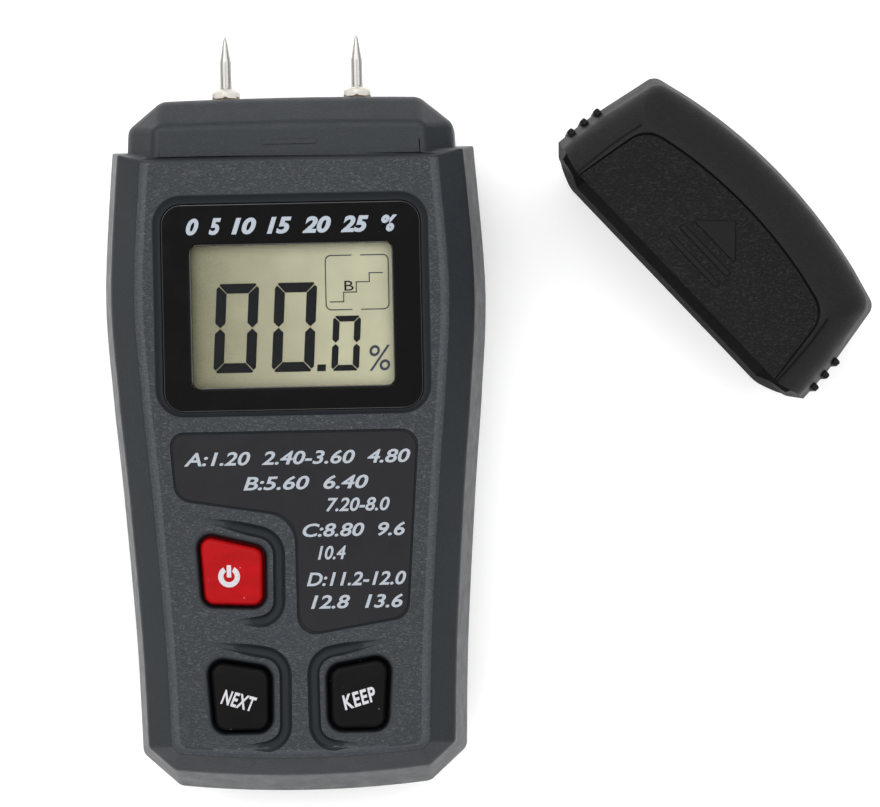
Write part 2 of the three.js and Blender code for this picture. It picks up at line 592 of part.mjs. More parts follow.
function backShell() {
  const { skin, hollow } = halfShell(-1, BACK_WALL);
  const bossSpan = [BACK_WALL - 1, HALF - PARTING_GAP];
  const bosses = CASE_SCREWS.map((at) => post(CASE_BOSS_RADIUS, at, bossSpan));
  const ribs = [-1, 1].map((side) => {
    const xs = [side * GROOVE_X, side * (GROOVE_X + BAY_RIB)].sort((a, b) => a - b);
    return box(xs, [BATTERY_Y, END_WALL_Y + BAY_RIB], bossSpan);
  });
  const endWall = box(
    [-GROOVE_X - BAY_RIB, GROOVE_X + BAY_RIB], [END_WALL_Y, END_WALL_Y + BAY_RIB], bossSpan);
  const notchX = WIRE_NOTCH.width / 2;
  const wireNotch = box(
    [-notchX, notchX], [END_WALL_Y - 1, END_WALL_Y + BAY_RIB + 1], [WIRE_NOTCH.floor, HALF + 1]);
  const below = FOOT_Y - 1;
  const doorOpening = box([-DOOR_OPENING_X, DOOR_OPENING_X], [below, DOOR_OPENING_Y], [-1, DOOR_CUT_Z]);
  const grooves = box(
    [-GROOVE_X, GROOVE_X], [below, DOOR_OPENING_Y], [DOOR_TONGUE.lift - DOOR_CLEARANCE, DOOR_CUT_Z]);
  const counterbores = CASE_SCREWS.map((at) => (
    post(CASE_SCREW.head + SCREW_CLEARANCE, at, [-1, COUNTERBORE_DEPTH])));
  const shankHoles = CASE_SCREWS.map((at) => (
    post(CASE_SCREW.shank + SCREW_CLEARANCE, at, [COUNTERBORE_DEPTH - 1, HALF + 1], SMALL_SIDES)));
  const walls = joined([...ribs, endWall]).subtract(wireNotch);
  const solid = joined([skin.subtract(hollow), ...bosses, walls]);
  return cutBy(solid, [doorOpening, grooves, ...counterbores, ...shankHoles, ...socketHoles()]);
}

// ---- Battery door ----
function doorSolid() {
  const { skin } = halfShell(-1, BACK_WALL);
  const plateX = DOOR_OPENING_X - DOOR_CLEARANCE;
  const ys = [FOOT_Y - 1, DOOR_OPENING_Y - DOOR_CLEARANCE];
  const tongueX = plateX + DOOR_TONGUE.reach;
  const plate = box([-plateX, plateX], ys, [-1, DOOR_THICKNESS])
    .add(box([-tongueX, tongueX], ys, [DOOR_TONGUE.lift, DOOR_THICKNESS]))
    .intersect(skin);
  const gripTop = ys[1] - GRIP.drop;
  const recess = box(
    [-GRIP.width / 2, GRIP.width / 2], [gripTop - GRIP.length, gripTop], [-1, GRIP.depth]);
  const pitch = GRIP.length / GRIP.ribs;
  const ribs = Array.from({ length: GRIP.ribs }, (_, i) => {
    const y = gripTop - pitch * (i + 0.5);
    const xs = [-GRIP.width / 2 - RIB_BITE, GRIP.width / 2 + RIB_BITE];
    return box(xs, [y - GRIP.ribWidth / 2, y + GRIP.ribWidth / 2], [GRIP.ribTop, 1]);
  });
  return joined([plate.subtract(recess), ...ribs]);
}

// ---- Circuit board ----
function boardSolid() {
  const x = BOARD_WIDTH / 2;
  const plate = box(
    [-x, x], [FOOT_Y + BOARD_FOOT_RISE, SHOULDER_Y - BOARD_TOP_DROP], [BOARD_UNDER_Z, BOARD_Z]);
  const span = [BOARD_UNDER_Z - 1, BOARD_Z + 1];
  return cutBy(plate, [
    ...CASE_SCREWS.map((at) => post(CASE_BOSS_RADIUS + SCREW_CLEARANCE, at, span)),
    ...BOARD_SCREWS.map((at) => post(BOARD_SCREW.shank + SCREW_CLEARANCE, at, span, SMALL_SIDES)),
  ]);
}

function screwSolid({ head, headHeight, shank, bite }, at, seatZ, boardDepth) {
  return post(head, at, [seatZ - headHeight, seatZ], SMALL_SIDES)
    .add(post(shank, at, [seatZ - headHeight / 2, seatZ + boardDepth + bite], SMALL_SIDES));
}

// ---- Probes ----
function socketHoles() {
  return [-1, 1].map((side) => turned([
    [0, NOSE_TOP_Y - NOSE_WALL - 2],
    [SOCKET_RADIUS + SOCKET_CLEARANCE, NOSE_TOP_Y - NOSE_WALL - 2],
    [SOCKET_RADIUS + SOCKET_CLEARANCE, NOSE_TOP_Y + 1],
    [0, NOSE_TOP_Y + 1],
  ], [side * PIN_X, HALF]));
}

function pinSolid(side) {
  const tip = NOSE_TOP_Y + PIN_REACH;
  const shoulder = NUT_Y + NUT_HEIGHT;
  return turned([
    [0, NOSE_TOP_Y - STUD_LENGTH],
    [STUD_RADIUS, NOSE_TOP_Y - STUD_LENGTH],
    [STUD_RADIUS, shoulder],
    [PIN_RADIUS, shoulder + STUD_TAPER],
    [PIN_RADIUS, tip - PIN_CONE],
    [PIN_TIP_RADIUS, tip],
    [0, tip],
  ], [side * PIN_X, HALF]);
}

function nutSolid(side) {
  const flat = NUT_ACROSS_FLATS / 2;
  const corner = flat / Math.cos(Math.PI / 6);
  const bore = STUD_RADIUS + NUT_GAP;
  const hex = new THREE.CylinderGeometry(corner, corner, NUT_HEIGHT, 6);
  const prismSolid = toSolid(hex.translate(side * PIN_X, NUT_Y + NUT_HEIGHT / 2, HALF));
  const envelope = turned([
    [0, NUT_Y], [flat, NUT_Y], [corner, NUT_Y + NUT_CHAMFER.back], [corner, NUT_Y + NUT_CHAMFER.front],
    [flat * NUT_CHAMFER.faceShare, NUT_Y + NUT_HEIGHT], [0, NUT_Y + NUT_HEIGHT],
  ], [side * PIN_X, HALF]);
  const hole = turned([
    [0, NUT_Y - 1], [bore, NUT_Y - 1], [bore, NUT_Y + NUT_HEIGHT + 1], [0, NUT_Y + NUT_HEIGHT + 1],
  ], [side * PIN_X, HALF]);
  return prismSolid.intersect(envelope).subtract(hole);
}

function socketSolid(side) {
  const top = NOSE_TOP_Y - NOSE_CROWN;
  const flangeTop = NOSE_TOP_Y - NOSE_WALL - NOSE_CROWN - SOCKET_FLANGE.gap;
  const bore = STUD_RADIUS + NUT_GAP;
  const floor = NOSE_TOP_Y - STUD_LENGTH - NUT_GAP;
  return turned([
    [0, top - SOCKET_LENGTH - SOCKET_TAIL.length],
    [SOCKET_TAIL.radius, top - SOCKET_LENGTH - SOCKET_TAIL.length],
    [SOCKET_TAIL.radius, top - SOCKET_LENGTH],
    [SOCKET_RADIUS, top - SOCKET_LENGTH],
    [SOCKET_RADIUS, flangeTop - SOCKET_FLANGE.thickness],
    [SOCKET_FLANGE.radius, flangeTop - SOCKET_FLANGE.thickness],
    [SOCKET_FLANGE.radius, flangeTop],
    [SOCKET_RADIUS, flangeTop],
    [SOCKET_RADIUS, top],
    [bore, top],
    [bore, floor],
    [0, floor],
  ], [side * PIN_X, HALF]);
}

function wireSolid(points) {
  const path = new THREE.CatmullRomCurve3(points.map((point) => new THREE.Vector3(...point)));
  const section = new THREE.Shape().absarc(0, 0, LEAD_RADIUS, 0, 2 * Math.PI);
  const options = { steps: 14, curveSegments: 4, extrudePath: path, bevelEnabled: false };
  return toSolid(new THREE.ExtrudeGeometry(section, options));
}

function probeLead(side) {
  const tail = NOSE_TOP_Y - NOSE_CROWN - SOCKET_LENGTH - SOCKET_TAIL.length - NUT_GAP;
  const boardEnd = SHOULDER_Y - BOARD_TOP_DROP - PROBE_LEAD.boardEdge;
  const x = side * PIN_X;
  return wireSolid([
    [x, tail, HALF],
    [x, tail - PROBE_LEAD.straight, HALF + PROBE_LEAD.lift],
    [x, boardEnd + PROBE_LEAD.rise.run, HALF + PROBE_LEAD.rise.lift],
    [x, boardEnd, BOARD_UNDER_Z - NUT_GAP],
  ]);
}

// ---- Battery ----
const BATTERY_MIDDLE_Z = BATTERY_ABOVE_BACK + BATTERY.height / 2;

function batterySolid() {
  const x = BATTERY.width / 2;
  const shell = box(
    [-x, x], [BATTERY_Y, BATTERY_END_Y], [BATTERY_ABOVE_BACK, BATTERY_ABOVE_BACK + BATTERY.height]);
  const terminals = [-1, 1].map((side) => turned([
    [0, BATTERY_END_Y - 1],
    [BATTERY.terminalRadius, BATTERY_END_Y - 1],
    [BATTERY.terminalRadius, TERMINAL_END_Y],
    [0, TERMINAL_END_Y],
  ], [(side * BATTERY_TERMINAL_SPACING) / 2, BATTERY_MIDDLE_Z]));
  return joined([shell, ...terminals]);
}

function connectorSolid() {
  const [x, z] = [CONNECTOR.width / 2, CONNECTOR.height / 2];
  return box(
    [-x, x], [CONNECTOR_Y, CONNECTOR_Y + CONNECTOR.thickness], [BATTERY_MIDDLE_Z - z, BATTERY_MIDDLE_Z + z]);
}

function batteryLead(side) {
  const start = CONNECTOR_Y + CONNECTOR.thickness + NUT_GAP;
  const x = side * BATTERY_LEAD.x;
  return wireSolid([
    [x, start, BATTERY_MIDDLE_Z],
    [x, start + BATTERY_LEAD.straight, BATTERY_MIDDLE_Z + BATTERY_LEAD.lift],
    [x, END_WALL_Y + BATTERY_LEAD.rise.run, BATTERY_MIDDLE_Z + BATTERY_LEAD.rise.lift],
    [x, END_WALL_Y + BATTERY_LEAD.boardEdge, BOARD_UNDER_Z - NUT_GAP],
  ]);
}

// ---- Cap ----
// In its own frame x runs across, y from the front edge of the mouth to the crown, and z as on the meter.
const CAP_MOUTH = SHOULDER_INSETS[1]; // the mouth's edge at the parting plane, sloped as the shoulder is
const CAP_X = SHOULDER_X - CAP_SHOULDER_STEP;
const CROWN_STEPS = 5;

function crownPoints(cornerX, cornerY, middleY) {
  return Array.from({ length: CROWN_STEPS }, (_, step) => {
    const x = cornerX * (1 - step / (CROWN_STEPS - 1));
    return { point: new THREE.Vector2(x, middleY - (middleY - cornerY) * (x / cornerX) ** 2) };
  });
}

function capOutline() {
  const cornerX = CAP_X - CAP_CORNER_INSET;
  const cornerY = CAP_LENGTH - CAP_CORNER_DROP;
  const crown = crownPoints(cornerX, cornerY, CAP_LENGTH);
  crown[0].rounding = CAP_CORNER_ROUNDING;
  return mirrored([
    { point: new THREE.Vector2(CAP_X, CAP_MOUTH) },
    { point: new THREE.Vector2((CAP_X + cornerX) / 2 + CAP_BULGE, (CAP_MOUTH + cornerY) / 2) },
    ...crown,
  ]);
}

// The mouth's edge moves outwards where the shoulder's moves in.
function capRing(height) {
  const { points, roundings } = capOutline();
  const at = (kind) => insetAt(kind, SKIRT, HALF, height);
  const half = [at(SIDE_INSETS), at(SIDE_INSETS), ...Array(CROWN_STEPS - 1).fill(at(CAP_CROWN_INSETS))];
  const insets = [...half, ...half.toReversed(), -at(SHOULDER_INSETS)];
  return rounded(insetOutline(points, insets), roundings);
}

// The hollow clears the nose, then narrows with the crown.
function capHollowRing(height) {
  const seat = SHOULDER_Y - CAP_MOUTH + CAP_SEAT_GAP;
  const noseCornerY = NOSE_TOP_Y - NOSE_CROWN - NOSE_CORNER_RISE - seat;
  const cornerX = CAP_X - CAP_CORNER_INSET - CAP_WALL;
  const cornerY = CAP_LENGTH - CAP_CORNER_DROP - CAP_WALL;
  const { points } = mirrored([
    { point: new THREE.Vector2(NOSE_X, -CAP_MOUTH) },
    { point: new THREE.Vector2(NOSE_X - NOSE_TAPER, noseCornerY) },
    ...crownPoints(cornerX + CAP_CLEARANCE, cornerY + CAP_CLEARANCE, CAP_LENGTH - CAP_WALL + CAP_CLEARANCE),
  ]);
  const skirt = NOSE_HALF - NOSE_BEVEL_HEIGHT;
  const side = insetAt(NOSE_SIDE_INSETS, skirt, NOSE_HALF, height, -CAP_CLEARANCE);
  const crown = insetAt(NOSE_TOP_INSETS, skirt, NOSE_HALF, height, CAP_CLEARANCE);
  const half = [side, side, ...Array(CROWN_STEPS - 1).fill(crown)];
  return insetOutline(points, [...half, ...half.toReversed(), 0]);
}

function capPanel(z) {
  const { points } = capOutline();
  const side = SIDE_INSETS[1] + CAP_PANEL.sideInset;
  const half = [side, side, ...Array(CROWN_STEPS - 1).fill(CAP_PANEL.topDrop)];
  const outline = insetOutline(points, [...half, ...half.toReversed(), -2 * CAP_MOUTH]);
  return prism(outline, [z - CAP_PANEL.depth, z + 1]);
}

function capRibs() {
  const edge = (y) => {
    const along = (y - CAP_MOUTH) / (CAP_LENGTH - CAP_CORNER_DROP - CAP_MOUTH);
    return CAP_X - CAP_CORNER_INSET * along + CAP_BULGE * (1 - Math.abs(2 * along - 1));
  };
  return [-1, 1].flatMap((side) => Array.from({ length: CAP_RIBS.count }, (_, i) => {
    const y = CAP_RIBS.first + CAP_RIBS.pitch * i;
    const xs = [side * (edge(y) - 1), side * (edge(y) + CAP_RIBS.proud)].sort((a, b) => a - b);
    return box(xs, [y - CAP_RIBS.width / 2, y + CAP_RIBS.width / 2],
      [HALF - CAP_RIBS.height / 2, HALF + CAP_RIBS.height / 2]);
  }));
}

function capSolid() {
  const heights = [0, SKIRT, HALF];
  const skin = joined([1, -1].map((side) => halfLoft(capRing, heights, side)));
  const breakHeight = NOSE_HALF - NOSE_BEVEL_HEIGHT + CAP_CLEARANCE / 2;
  const hollowHeights = [0, breakHeight, NOSE_HALF + CAP_CLEARANCE];
  const hollow = joined([1, -1].map((side) => halfLoft(capHollowRing, hollowHeights, side)));
  return cutBy(joined([skin, ...capRibs()]), [hollow, capPanel(FACE_Z)]);
}

// ---- Assembly ----
const PLASTIC = { color: 0x41464b, roughness: 0.6, metalness: 0 };
const STEEL = { color: 0xb9bbbd, roughness: 0.25, metalness: 1 };
const BRASS = { color: 0xb9964a, roughness: 0.35, metalness: 1 };
const BLACK = { color: 0x17181a, roughness: 0.5, metalness: 0 };
const meter = new THREE.Group();

function addMesh(parent, name, solid, look) {
  const mesh = new THREE.Mesh(toGeometry(solid), new THREE.MeshStandardMaterial(look));
  mesh.name = name;
  parent.add(mesh);
}

addMesh(meter, "front_shell", frontShell(), PLASTIC);
addMesh(meter, "back_shell", backShell(), PLASTIC);
addMesh(meter, "battery_door", doorSolid(), PLASTIC);
addMesh(meter, "label_plate", labelSolid(), { color: 0x2b2d30, roughness: 0.7, metalness: 0 });
addMesh(meter, "lens_panel", lensSolid(), { color: 0x101113, roughness: 0.08, metalness: 0 });
addMesh(meter, "lcd_cell", lcdSolid(), { color: 0xa9a88c, roughness: 0.3, metalness: 0 });
addMesh(meter, "lcd_holder", holderSolid(), BLACK);
addMesh(meter, "zebra_strip_upper", zebraSolid(1), { color: 0xb98a86, roughness: 0.8, metalness: 0 });
addMesh(meter, "zebra_strip_lower", zebraSolid(-1), { color: 0xb98a86, roughness: 0.8, metalness: 0 });
addMesh(meter, "circuit_board", boardSolid(), { color: 0x1f5a35, roughness: 0.5, metalness: 0 });

// Parts on the underside of the board: [name, width, depth, height, x, y above the battery's end wall].
const CHIPS = [
  ["controller_chip", 10, 10, 1.6, -9, 22],
  ["amplifier_chip", 5, 4, 1.5, 8, 24],
  ["capacitor", 6, 6, 5.4, 12, 14],
];
for (const [name, width, depth, height, x, rise] of CHIPS) {
  const y = END_WALL_Y + rise;
  const solid = box(
    [x - width / 2, x + width / 2], [y - depth / 2, y + depth / 2], [BOARD_UNDER_Z - height, BOARD_UNDER_Z]);
  addMesh(meter, name, solid, BLACK);
}

for (const button of BUTTONS) {
  const look = { color: button.color, roughness: 0.6, metalness: 0 };
  addMesh(meter, `${button.name}_button`, buttonSolid(button), look);
  addMesh(meter, `${button.name}_plunger`, plungerSolid(button), BLACK);
  addMesh(meter, `${button.name}_switch`, switchSolid(button), STEEL);
}

for (const [side, hand] of [[-1, "left"], [1, "right"]]) {
  addMesh(meter, `probe_pin_${hand}`, pinSolid(side), STEEL);
  addMesh(meter, `probe_nut_${hand}`, nutSolid(side), STEEL);
  addMesh(meter, `probe_socket_${hand}`, socketSolid(side), BRASS);
  addMesh(meter, `probe_lead_${hand}`, probeLead(side), BLACK);
}

addMesh(meter, "battery", batterySolid(), { color: 0x30343a, roughness: 0.3, metalness: 0.6 });
addMesh(meter, "battery_connector", connectorSolid(), BLACK);
addMesh(meter, "battery_lead_red", batteryLead(1), { color: 0xb01818, roughness: 0.5, metalness: 0 });
addMesh(meter, "battery_lead_black", batteryLead(-1), BLACK);

CASE_SCREWS.forEach((at, i) => {
  const reach = HALF - COUNTERBORE_DEPTH;
  addMesh(meter, `case_screw_${i + 1}`, screwSolid(CASE_SCREW, at, COUNTERBORE_DEPTH, reach), STEEL);
});
BOARD_SCREWS.forEach((at, i) => {
  addMesh(meter, `board_screw_${i + 1}`, screwSolid(BOARD_SCREW, at, BOARD_UNDER_Z, BOARD_THICKNESS), STEEL);
});

const capGroup = new THREE.Group();
capGroup.position.set(CAP_PLACE.x, CAP_PLACE.y, 0);
capGroup.rotation.z = CAP_PLACE.turn;
addMesh(capGroup, "pin_cap", capSolid(), { color: 0x242526, roughness: 0.65, metalness: 0 });
meter.add(capGroup);

export default meter;
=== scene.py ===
"""Pin-type moisture meter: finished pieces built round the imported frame, with its stage and camera.

Outlines are given in millimetres in the meter's own frame: x across, y along the pins, z up from the
back. Meshes are made in metres. Every height of the case is counted from the parting plane.
"""
import math

import bmesh
import bpy
from mathutils import Matrix, Vector
from mathutils.geometry import tessellate_polygon


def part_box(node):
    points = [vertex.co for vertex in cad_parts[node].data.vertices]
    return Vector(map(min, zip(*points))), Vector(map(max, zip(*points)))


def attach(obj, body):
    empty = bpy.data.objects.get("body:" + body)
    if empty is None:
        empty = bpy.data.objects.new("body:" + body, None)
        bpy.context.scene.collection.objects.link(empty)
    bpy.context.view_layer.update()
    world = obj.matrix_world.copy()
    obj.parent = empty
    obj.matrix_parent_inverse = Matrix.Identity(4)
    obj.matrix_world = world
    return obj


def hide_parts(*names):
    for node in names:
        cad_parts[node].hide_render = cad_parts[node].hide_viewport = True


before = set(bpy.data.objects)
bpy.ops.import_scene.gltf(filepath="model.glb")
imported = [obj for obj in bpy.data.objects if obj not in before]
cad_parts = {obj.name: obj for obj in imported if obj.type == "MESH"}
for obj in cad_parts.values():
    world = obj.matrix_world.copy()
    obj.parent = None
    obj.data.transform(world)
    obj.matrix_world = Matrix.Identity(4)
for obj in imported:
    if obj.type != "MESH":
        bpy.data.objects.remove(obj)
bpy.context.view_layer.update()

bl_info = {
    "name": "Moisture meter",
    "version": (1, 0, 0),
    "blender": (4, 5, 0),
    "location": "View3D > Sidebar > Meter",
    "description": "Builds the finished pieces of a pin-type moisture meter round its packed frame",
    "category": "Object",
}

MM = 0.001
STRAIGHT = 1e-6
MERGE = 1e-7


def frame_mm(node):
    low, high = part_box(node)
    return low / MM, high / MM


# ---- Sizes taken from the frame ----
CASE_LOW, CASE_HIGH = frame_mm("front_shell")
FACE = CASE_HIGH.z
HALF = CASE_LOW.z
SKIRT = HALF - 4
SIDE_X = CASE_HIGH.x
FOOT_Y = CASE_LOW.y
NOSE_Y = CASE_HIGH.y
NOSE_LENGTH = 8.3
SHOULDER_Y = NOSE_Y - NOSE_LENGTH
LENS_LOW, LENS_HIGH = frame_mm("lens_panel")
LABEL_LOW, LABEL_HIGH = frame_mm("label_plate")
LCD_LOW, LCD_HIGH = frame_mm("lcd_cell")
LCD_Y = (LCD_LOW.y + LCD_HIGH.y) / 2
DOOR_TOP = frame_mm("battery_door")[1].y
BATTERY_LOW, BATTERY_HIGH = frame_mm("battery")
ROOF = FACE - 2.4
FLOOR_WALL = 2.2
WALL = 2

# The case's outline: the foot's arc, the cut-off corner, and places up the side.
FOOT_CURVE = 370
CORNER_X, CORNER_Y = SIDE_X - 4.7, FOOT_Y + 6.8
CORNER_RUN = 6.2
SIDE_PLACES = ((4.05, 82), (2.35, 57.5), (0.92, 41), (0, 23.5))
SHOULDER_X = SIDE_X - 1.55

# The nose's outline: its root is sunk in the case, and its crown is nearly straight.
NOSE_X = SHOULDER_X - 2.7
NOSE_CORNER_X = NOSE_X - 0.45
NOSE_CROWN = 0.3
NOSE_CORNER_Y = NOSE_Y - NOSE_CROWN - 4.6
NOSE_ROOT_Y = SHOULDER_Y - 5.4
NOSE_WALL = 1.8
PROBE_PLACES = (-11, 11)

# Insets of each kind of edge at the top of the steep skirt and at the flat face.
CASE_KINDS = {"side": (2, 6.7), "shoulder": (1.2, 2.7), "foot": (3.9, 7.6), "corner": (2.9, 6.5)}
NOSE_KINDS = {"side": (0.3, 5.2), "top": (0.2, 5), "corner": (0.3, 3.9), "root": (0, 0)}
NOSE_HALF = HALF - 2.3
NOSE_SKIRT = NOSE_HALF - 5
PARTING_EDGE = 0.15
RIM_STEPS = 5
SHOULDER_BROW = 0.4


# ---- Outlines: lists of (x, y), anticlockwise ----
def inset_outline(points, insets):
    """Moves the edge from each point to the next inwards by its own inset."""
    count = len(points)
    moved = []
    for i, corner in enumerate(points):
        before, after = points[i - 1], points[(i + 1) % count]
        a = Vector((corner[1] - before[1], before[0] - corner[0])).normalized()
        b = Vector((after[1] - corner[1], corner[0] - after[0])).normalized()
        here = Vector(corner)
        turn = a.cross(b)
        if abs(turn) < STRAIGHT:
            moved.append(tuple(here - a * insets[i - 1]))
            continue
        reach_a, reach_b = a.dot(here) - insets[i - 1], b.dot(here) - insets[i]
        moved.append(((reach_a * b.y - reach_b * a.y) / turn, (reach_b * a.x - reach_a * b.x) / turn))
    return moved


def grown(points, margin):
    return inset_outline(points, [-margin] * len(points))


def rounded(points, radii, steps=6):
    """Rounds each corner by its own radius; a short edge limits it."""
    out = []
    count = len(points)
    for i, corner in enumerate(points):
        if not radii[i]:
            out.append(tuple(corner))
            continue
        here = Vector(corner)
        before, after = Vector(points[i - 1]) - here, Vector(points[(i + 1) % count]) - here
        shortest = min(before.length, after.length)
        before.normalize()
        after.normalize()
        half_angle = math.acos(max(-1, min(1, before.dot(after)))) / 2
        reach = min(radii[i] / math.tan(half_angle), 0.45 * shortest)
        centre = here + (before + after).normalized() * (reach / math.cos(half_angle))
        start, end = here + before * reach - centre, here + after * reach - centre
        sweep = math.atan2(start.cross(end), start.dot(end))
        for step in range(steps + 1):
            angle = sweep * step / steps
            c, s = math.cos(angle), math.sin(angle)
            out.append((centre.x + start.x * c - start.y * s, centre.y + start.x * s + start.y * c))
    return out


def rounded_box(width, height, centre, radius, steps=6):
    x, y = width / 2, height / 2
    points = [(centre[0] + a * x, centre[1] + b * y) for a, b in ((-1, -1), (1, -1), (1, 1), (-1, 1))]
    return rounded(points, [radius] * 4, steps)


def circle(radius, centre, sides=40):
    angles = [2 * math.pi * i / sides for i in range(sides)]
    return [(centre[0] + radius * math.cos(a), centre[1] + radius * math.sin(a)) for a in angles]


def spline(points, t):
    """Catmull-Rom through the points, with the end points repeated."""
    place = (len(points) - 1) * t
    k = min(int(place), len(points) - 2)
    w = place - k
    p0, p1, p2 = points[max(k - 1, 0)], points[k], points[k + 1]
    p3 = points[min(k + 2, len(points) - 1)]

    def along(a, b, c, d):
        v0, v1 = (c - a) / 2, (d - b) / 2
        return (2 * b - 2 * c + v0 + v1) * w**3 + (3 * c - 3 * b - 2 * v0 - v1) * w**2 + v0 * w + b

    return tuple(along(*values) for values in zip(p0, p1, p2, p3))


def mirrored(half, closing=None):
    """Closes a right half with its mirror. The half is a list of (point, rounding, kind of the edge after it).
    Its last edge crosses the middle, or else a closing edge is given for one that ends on the middle."""
    right = [item for item in half if item[0][0] > STRAIGHT]
    points = [point for point, _, _ in half] + [(-x, y) for (x, y), _, _ in reversed(right)]
    radii = [radius for _, radius, _ in half] + [radius for _, radius, _ in reversed(right)]
    kinds = [kind for _, _, kind in half[:-1]]
    crossing, last = ([], [closing]) if closing else ([half[-1][2]], [])
    return points, radii, kinds + crossing + kinds[::-1] + last


def case_outline():
    def foot(x):
        return x, FOOT_Y + x**2 / FOOT_CURVE

    half = [(foot(x), 0, "foot") for x in (0, 3, 6, 9, 12, 15, 17.5)]
    half.append((foot(CORNER_X - CORNER_RUN), 2, "corner"))
    knots = [(CORNER_X, CORNER_Y)] + [(SIDE_X - inset, SHOULDER_Y - drop) for inset, drop in SIDE_PLACES]
    knots.append((SHOULDER_X, SHOULDER_Y))
    half.append((spline(knots, 0), 2, "side"))
    for t in [0.05] + [0.08 + 0.88 * i / 30 for i in range(31)]:
        half.append((spline(knots, t), 0, "side"))
    half.append((spline(knots, 1), 0.35, "shoulder"))
    return mirrored(half)


def nose_outline():
    flat = NOSE_CORNER_X - 5.6
    shares = [1 - i / 5 for i in range(6)]
    crown = [(flat * share, NOSE_Y - NOSE_CROWN * share**2) for share in shares]
    half = [((NOSE_X, NOSE_ROOT_Y), 0, "side"), ((NOSE_CORNER_X, NOSE_CORNER_Y), 2.8, "corner")]
    half.append((crown[0], 4, "top"))
    half += [(point, 0, "top") for point in crown[1:]]
    return mirrored(half, "root")


def inset_at(pair, skirt, half, height, wall=0):
    """Inset of an edge at a height, as the deepest of its two straight stretches moved in by a wall."""
    low, high = pair
    best = -1e9
    for inset0, height0, inset1, height1 in ((0, 0, low, skirt), (low, skirt, high, half)):
        slope = (inset1 - inset0) / (height1 - height0)
        best = max(best, inset0 + slope * (height - height0) + wall * math.hypot(1, slope))
    return best


def bend(a, b, c, t):
    """A point of the curve from a to c that leans towards b."""
    return (1 - t) ** 2 * a + 2 * t * (1 - t) * b + t * t * c


def soft_rows(kinds, skirt, half, edge, knee, drop, run, steps=5):
    """Rows (height, {kind: inset}) up a half: a softened parting edge, a rounded knee, a rounded brow."""
    rows = [(0.0, {k: edge for k in kinds}), (edge, {k: low * edge / skirt for k, (low, _) in kinds.items()})]

    def knee_insets(kind, low, high):
        return low * (skirt - knee) / skirt, low, low + (high - low) * knee / (half - skirt)

    def brow_insets(kind, low, high):
        reach = SHOULDER_BROW if kind == "shoulder" else 1
        return high - (high - low) * drop / (half - skirt), high, high + run * reach

    turns = (((skirt - knee, skirt, skirt + knee), knee_insets), ((half - drop, half, half), brow_insets))
    for heights, insets_of in turns:
        for i in range(steps + 1):
            t = i / steps
            insets = {k: bend(*insets_of(k, *pair), t) for k, pair in kinds.items()}
            rows.append((bend(*heights, t), insets))
    return rows


# ---- Mesh making ----
class Skin:
    """Collects rings, bands and flat lids, then makes one mesh object of them."""

    def __init__(self):
        self.points = []
        self.faces = []

    def ring(self, outline, z):
        return self.loop([(x, y, z) for x, y in outline])

    def loop(self, points):
        start = len(self.points)
        self.points += points
        return list(range(start, start + len(points)))

    def band(self, low, high):
        count = len(low)
        for i in range(count):
            j = (i + 1) % count
            self.faces.append((low[i], low[j], high[j], high[i]))

    def bands(self, rings):
        for low, high in zip(rings, rings[1:]):
            self.band(low, high)

    def plug(self, rings):
        """Closes a run of rings with one face at each end."""
        self.faces += [tuple(rings[0][::-1]), tuple(rings[-1])]

    def lid(self, rings, up=True):
        """Flat faces between an outer ring and any inner ones."""
        flat = [[Vector(self.points[i]) for i in ring] for ring in rings]
        order = [i for ring in rings for i in ring]
        for a, b, c in tessellate_polygon(flat):
            pa, pb, pc = (Vector(self.points[order[k]]) for k in (a, b, c))
            upward = (pb - pa).cross(pc - pa).z > 0
            face = (order[a], order[b], order[c])
            self.faces.append(face if upward == up else face[::-1])

    def stack(self, rows):
        """Closed solid through rows (outline, z), lowest first."""
        rings = [self.ring(outline, z) for outline, z in rows]
        self.bands(rings)
        self.lid([rings[0]], up=False)
        self.lid([rings[-1]], up=True)

    def make(self, name):
        mesh = bpy.data.meshes.new(name)
        mesh.from_pydata([Vector(p) * MM for p in self.points], [], self.faces)
        mesh.validate()
        piece = bpy.data.objects.new(name, mesh)
        bpy.context.scene.collection.objects.link(piece)
        return piece


def solid(name, rows):
    skin = Skin()
    skin.stack(rows)
    return skin.make(name)


def slab(name, outline, low, high):
    return solid(name, [(outline, low), (outline, high)])


def turned(name, profile, centre, axis="Y", sides=48):
    """Round solid from (radius, distance) pairs along an axis, closed at both ends."""
    skin = Skin()
    x0, y0, z0 = centre
    turns = [2 * math.pi * i / sides for i in range(sides)]
    rings = []
    for radius, far in profile:
        if axis == "Y":
            points = [(x0 + radius * math.sin(a), y0 + far, z0 + radius * math.cos(a)) for a in turns]
        else:
            points = [(x0 + radius * math.cos(a), y0 + radius * math.sin(a), z0 + far) for a in turns]
        rings.append(skin.loop(points))
    skin.bands(rings)
    skin.plug(rings)
    return skin.make(name)


def final_mesh(made):
    return bpy.data.meshes.new_from_object(made.evaluated_get(bpy.context.evaluated_depsgraph_get()))


def carve(target, tool, how="DIFFERENCE"):
    """Cuts, joins or intersects and throws the tool away."""
    cut = target.modifiers.new("carve", "BOOLEAN")
    cut.operation = how
    cut.solver = "EXACT"
    cut.object = tool
    bpy.context.view_layer.update()
    result = final_mesh(target)
    target.modifiers.clear()
    old = target.data
    target.data = result
    bpy.data.meshes.remove(old)
    spent = tool.data
    bpy.data.objects.remove(tool)
    bpy.data.meshes.remove(spent)


def merge_doubles(work):
    bmesh.ops.remove_doubles(work, verts=work.verts, dist=MERGE)


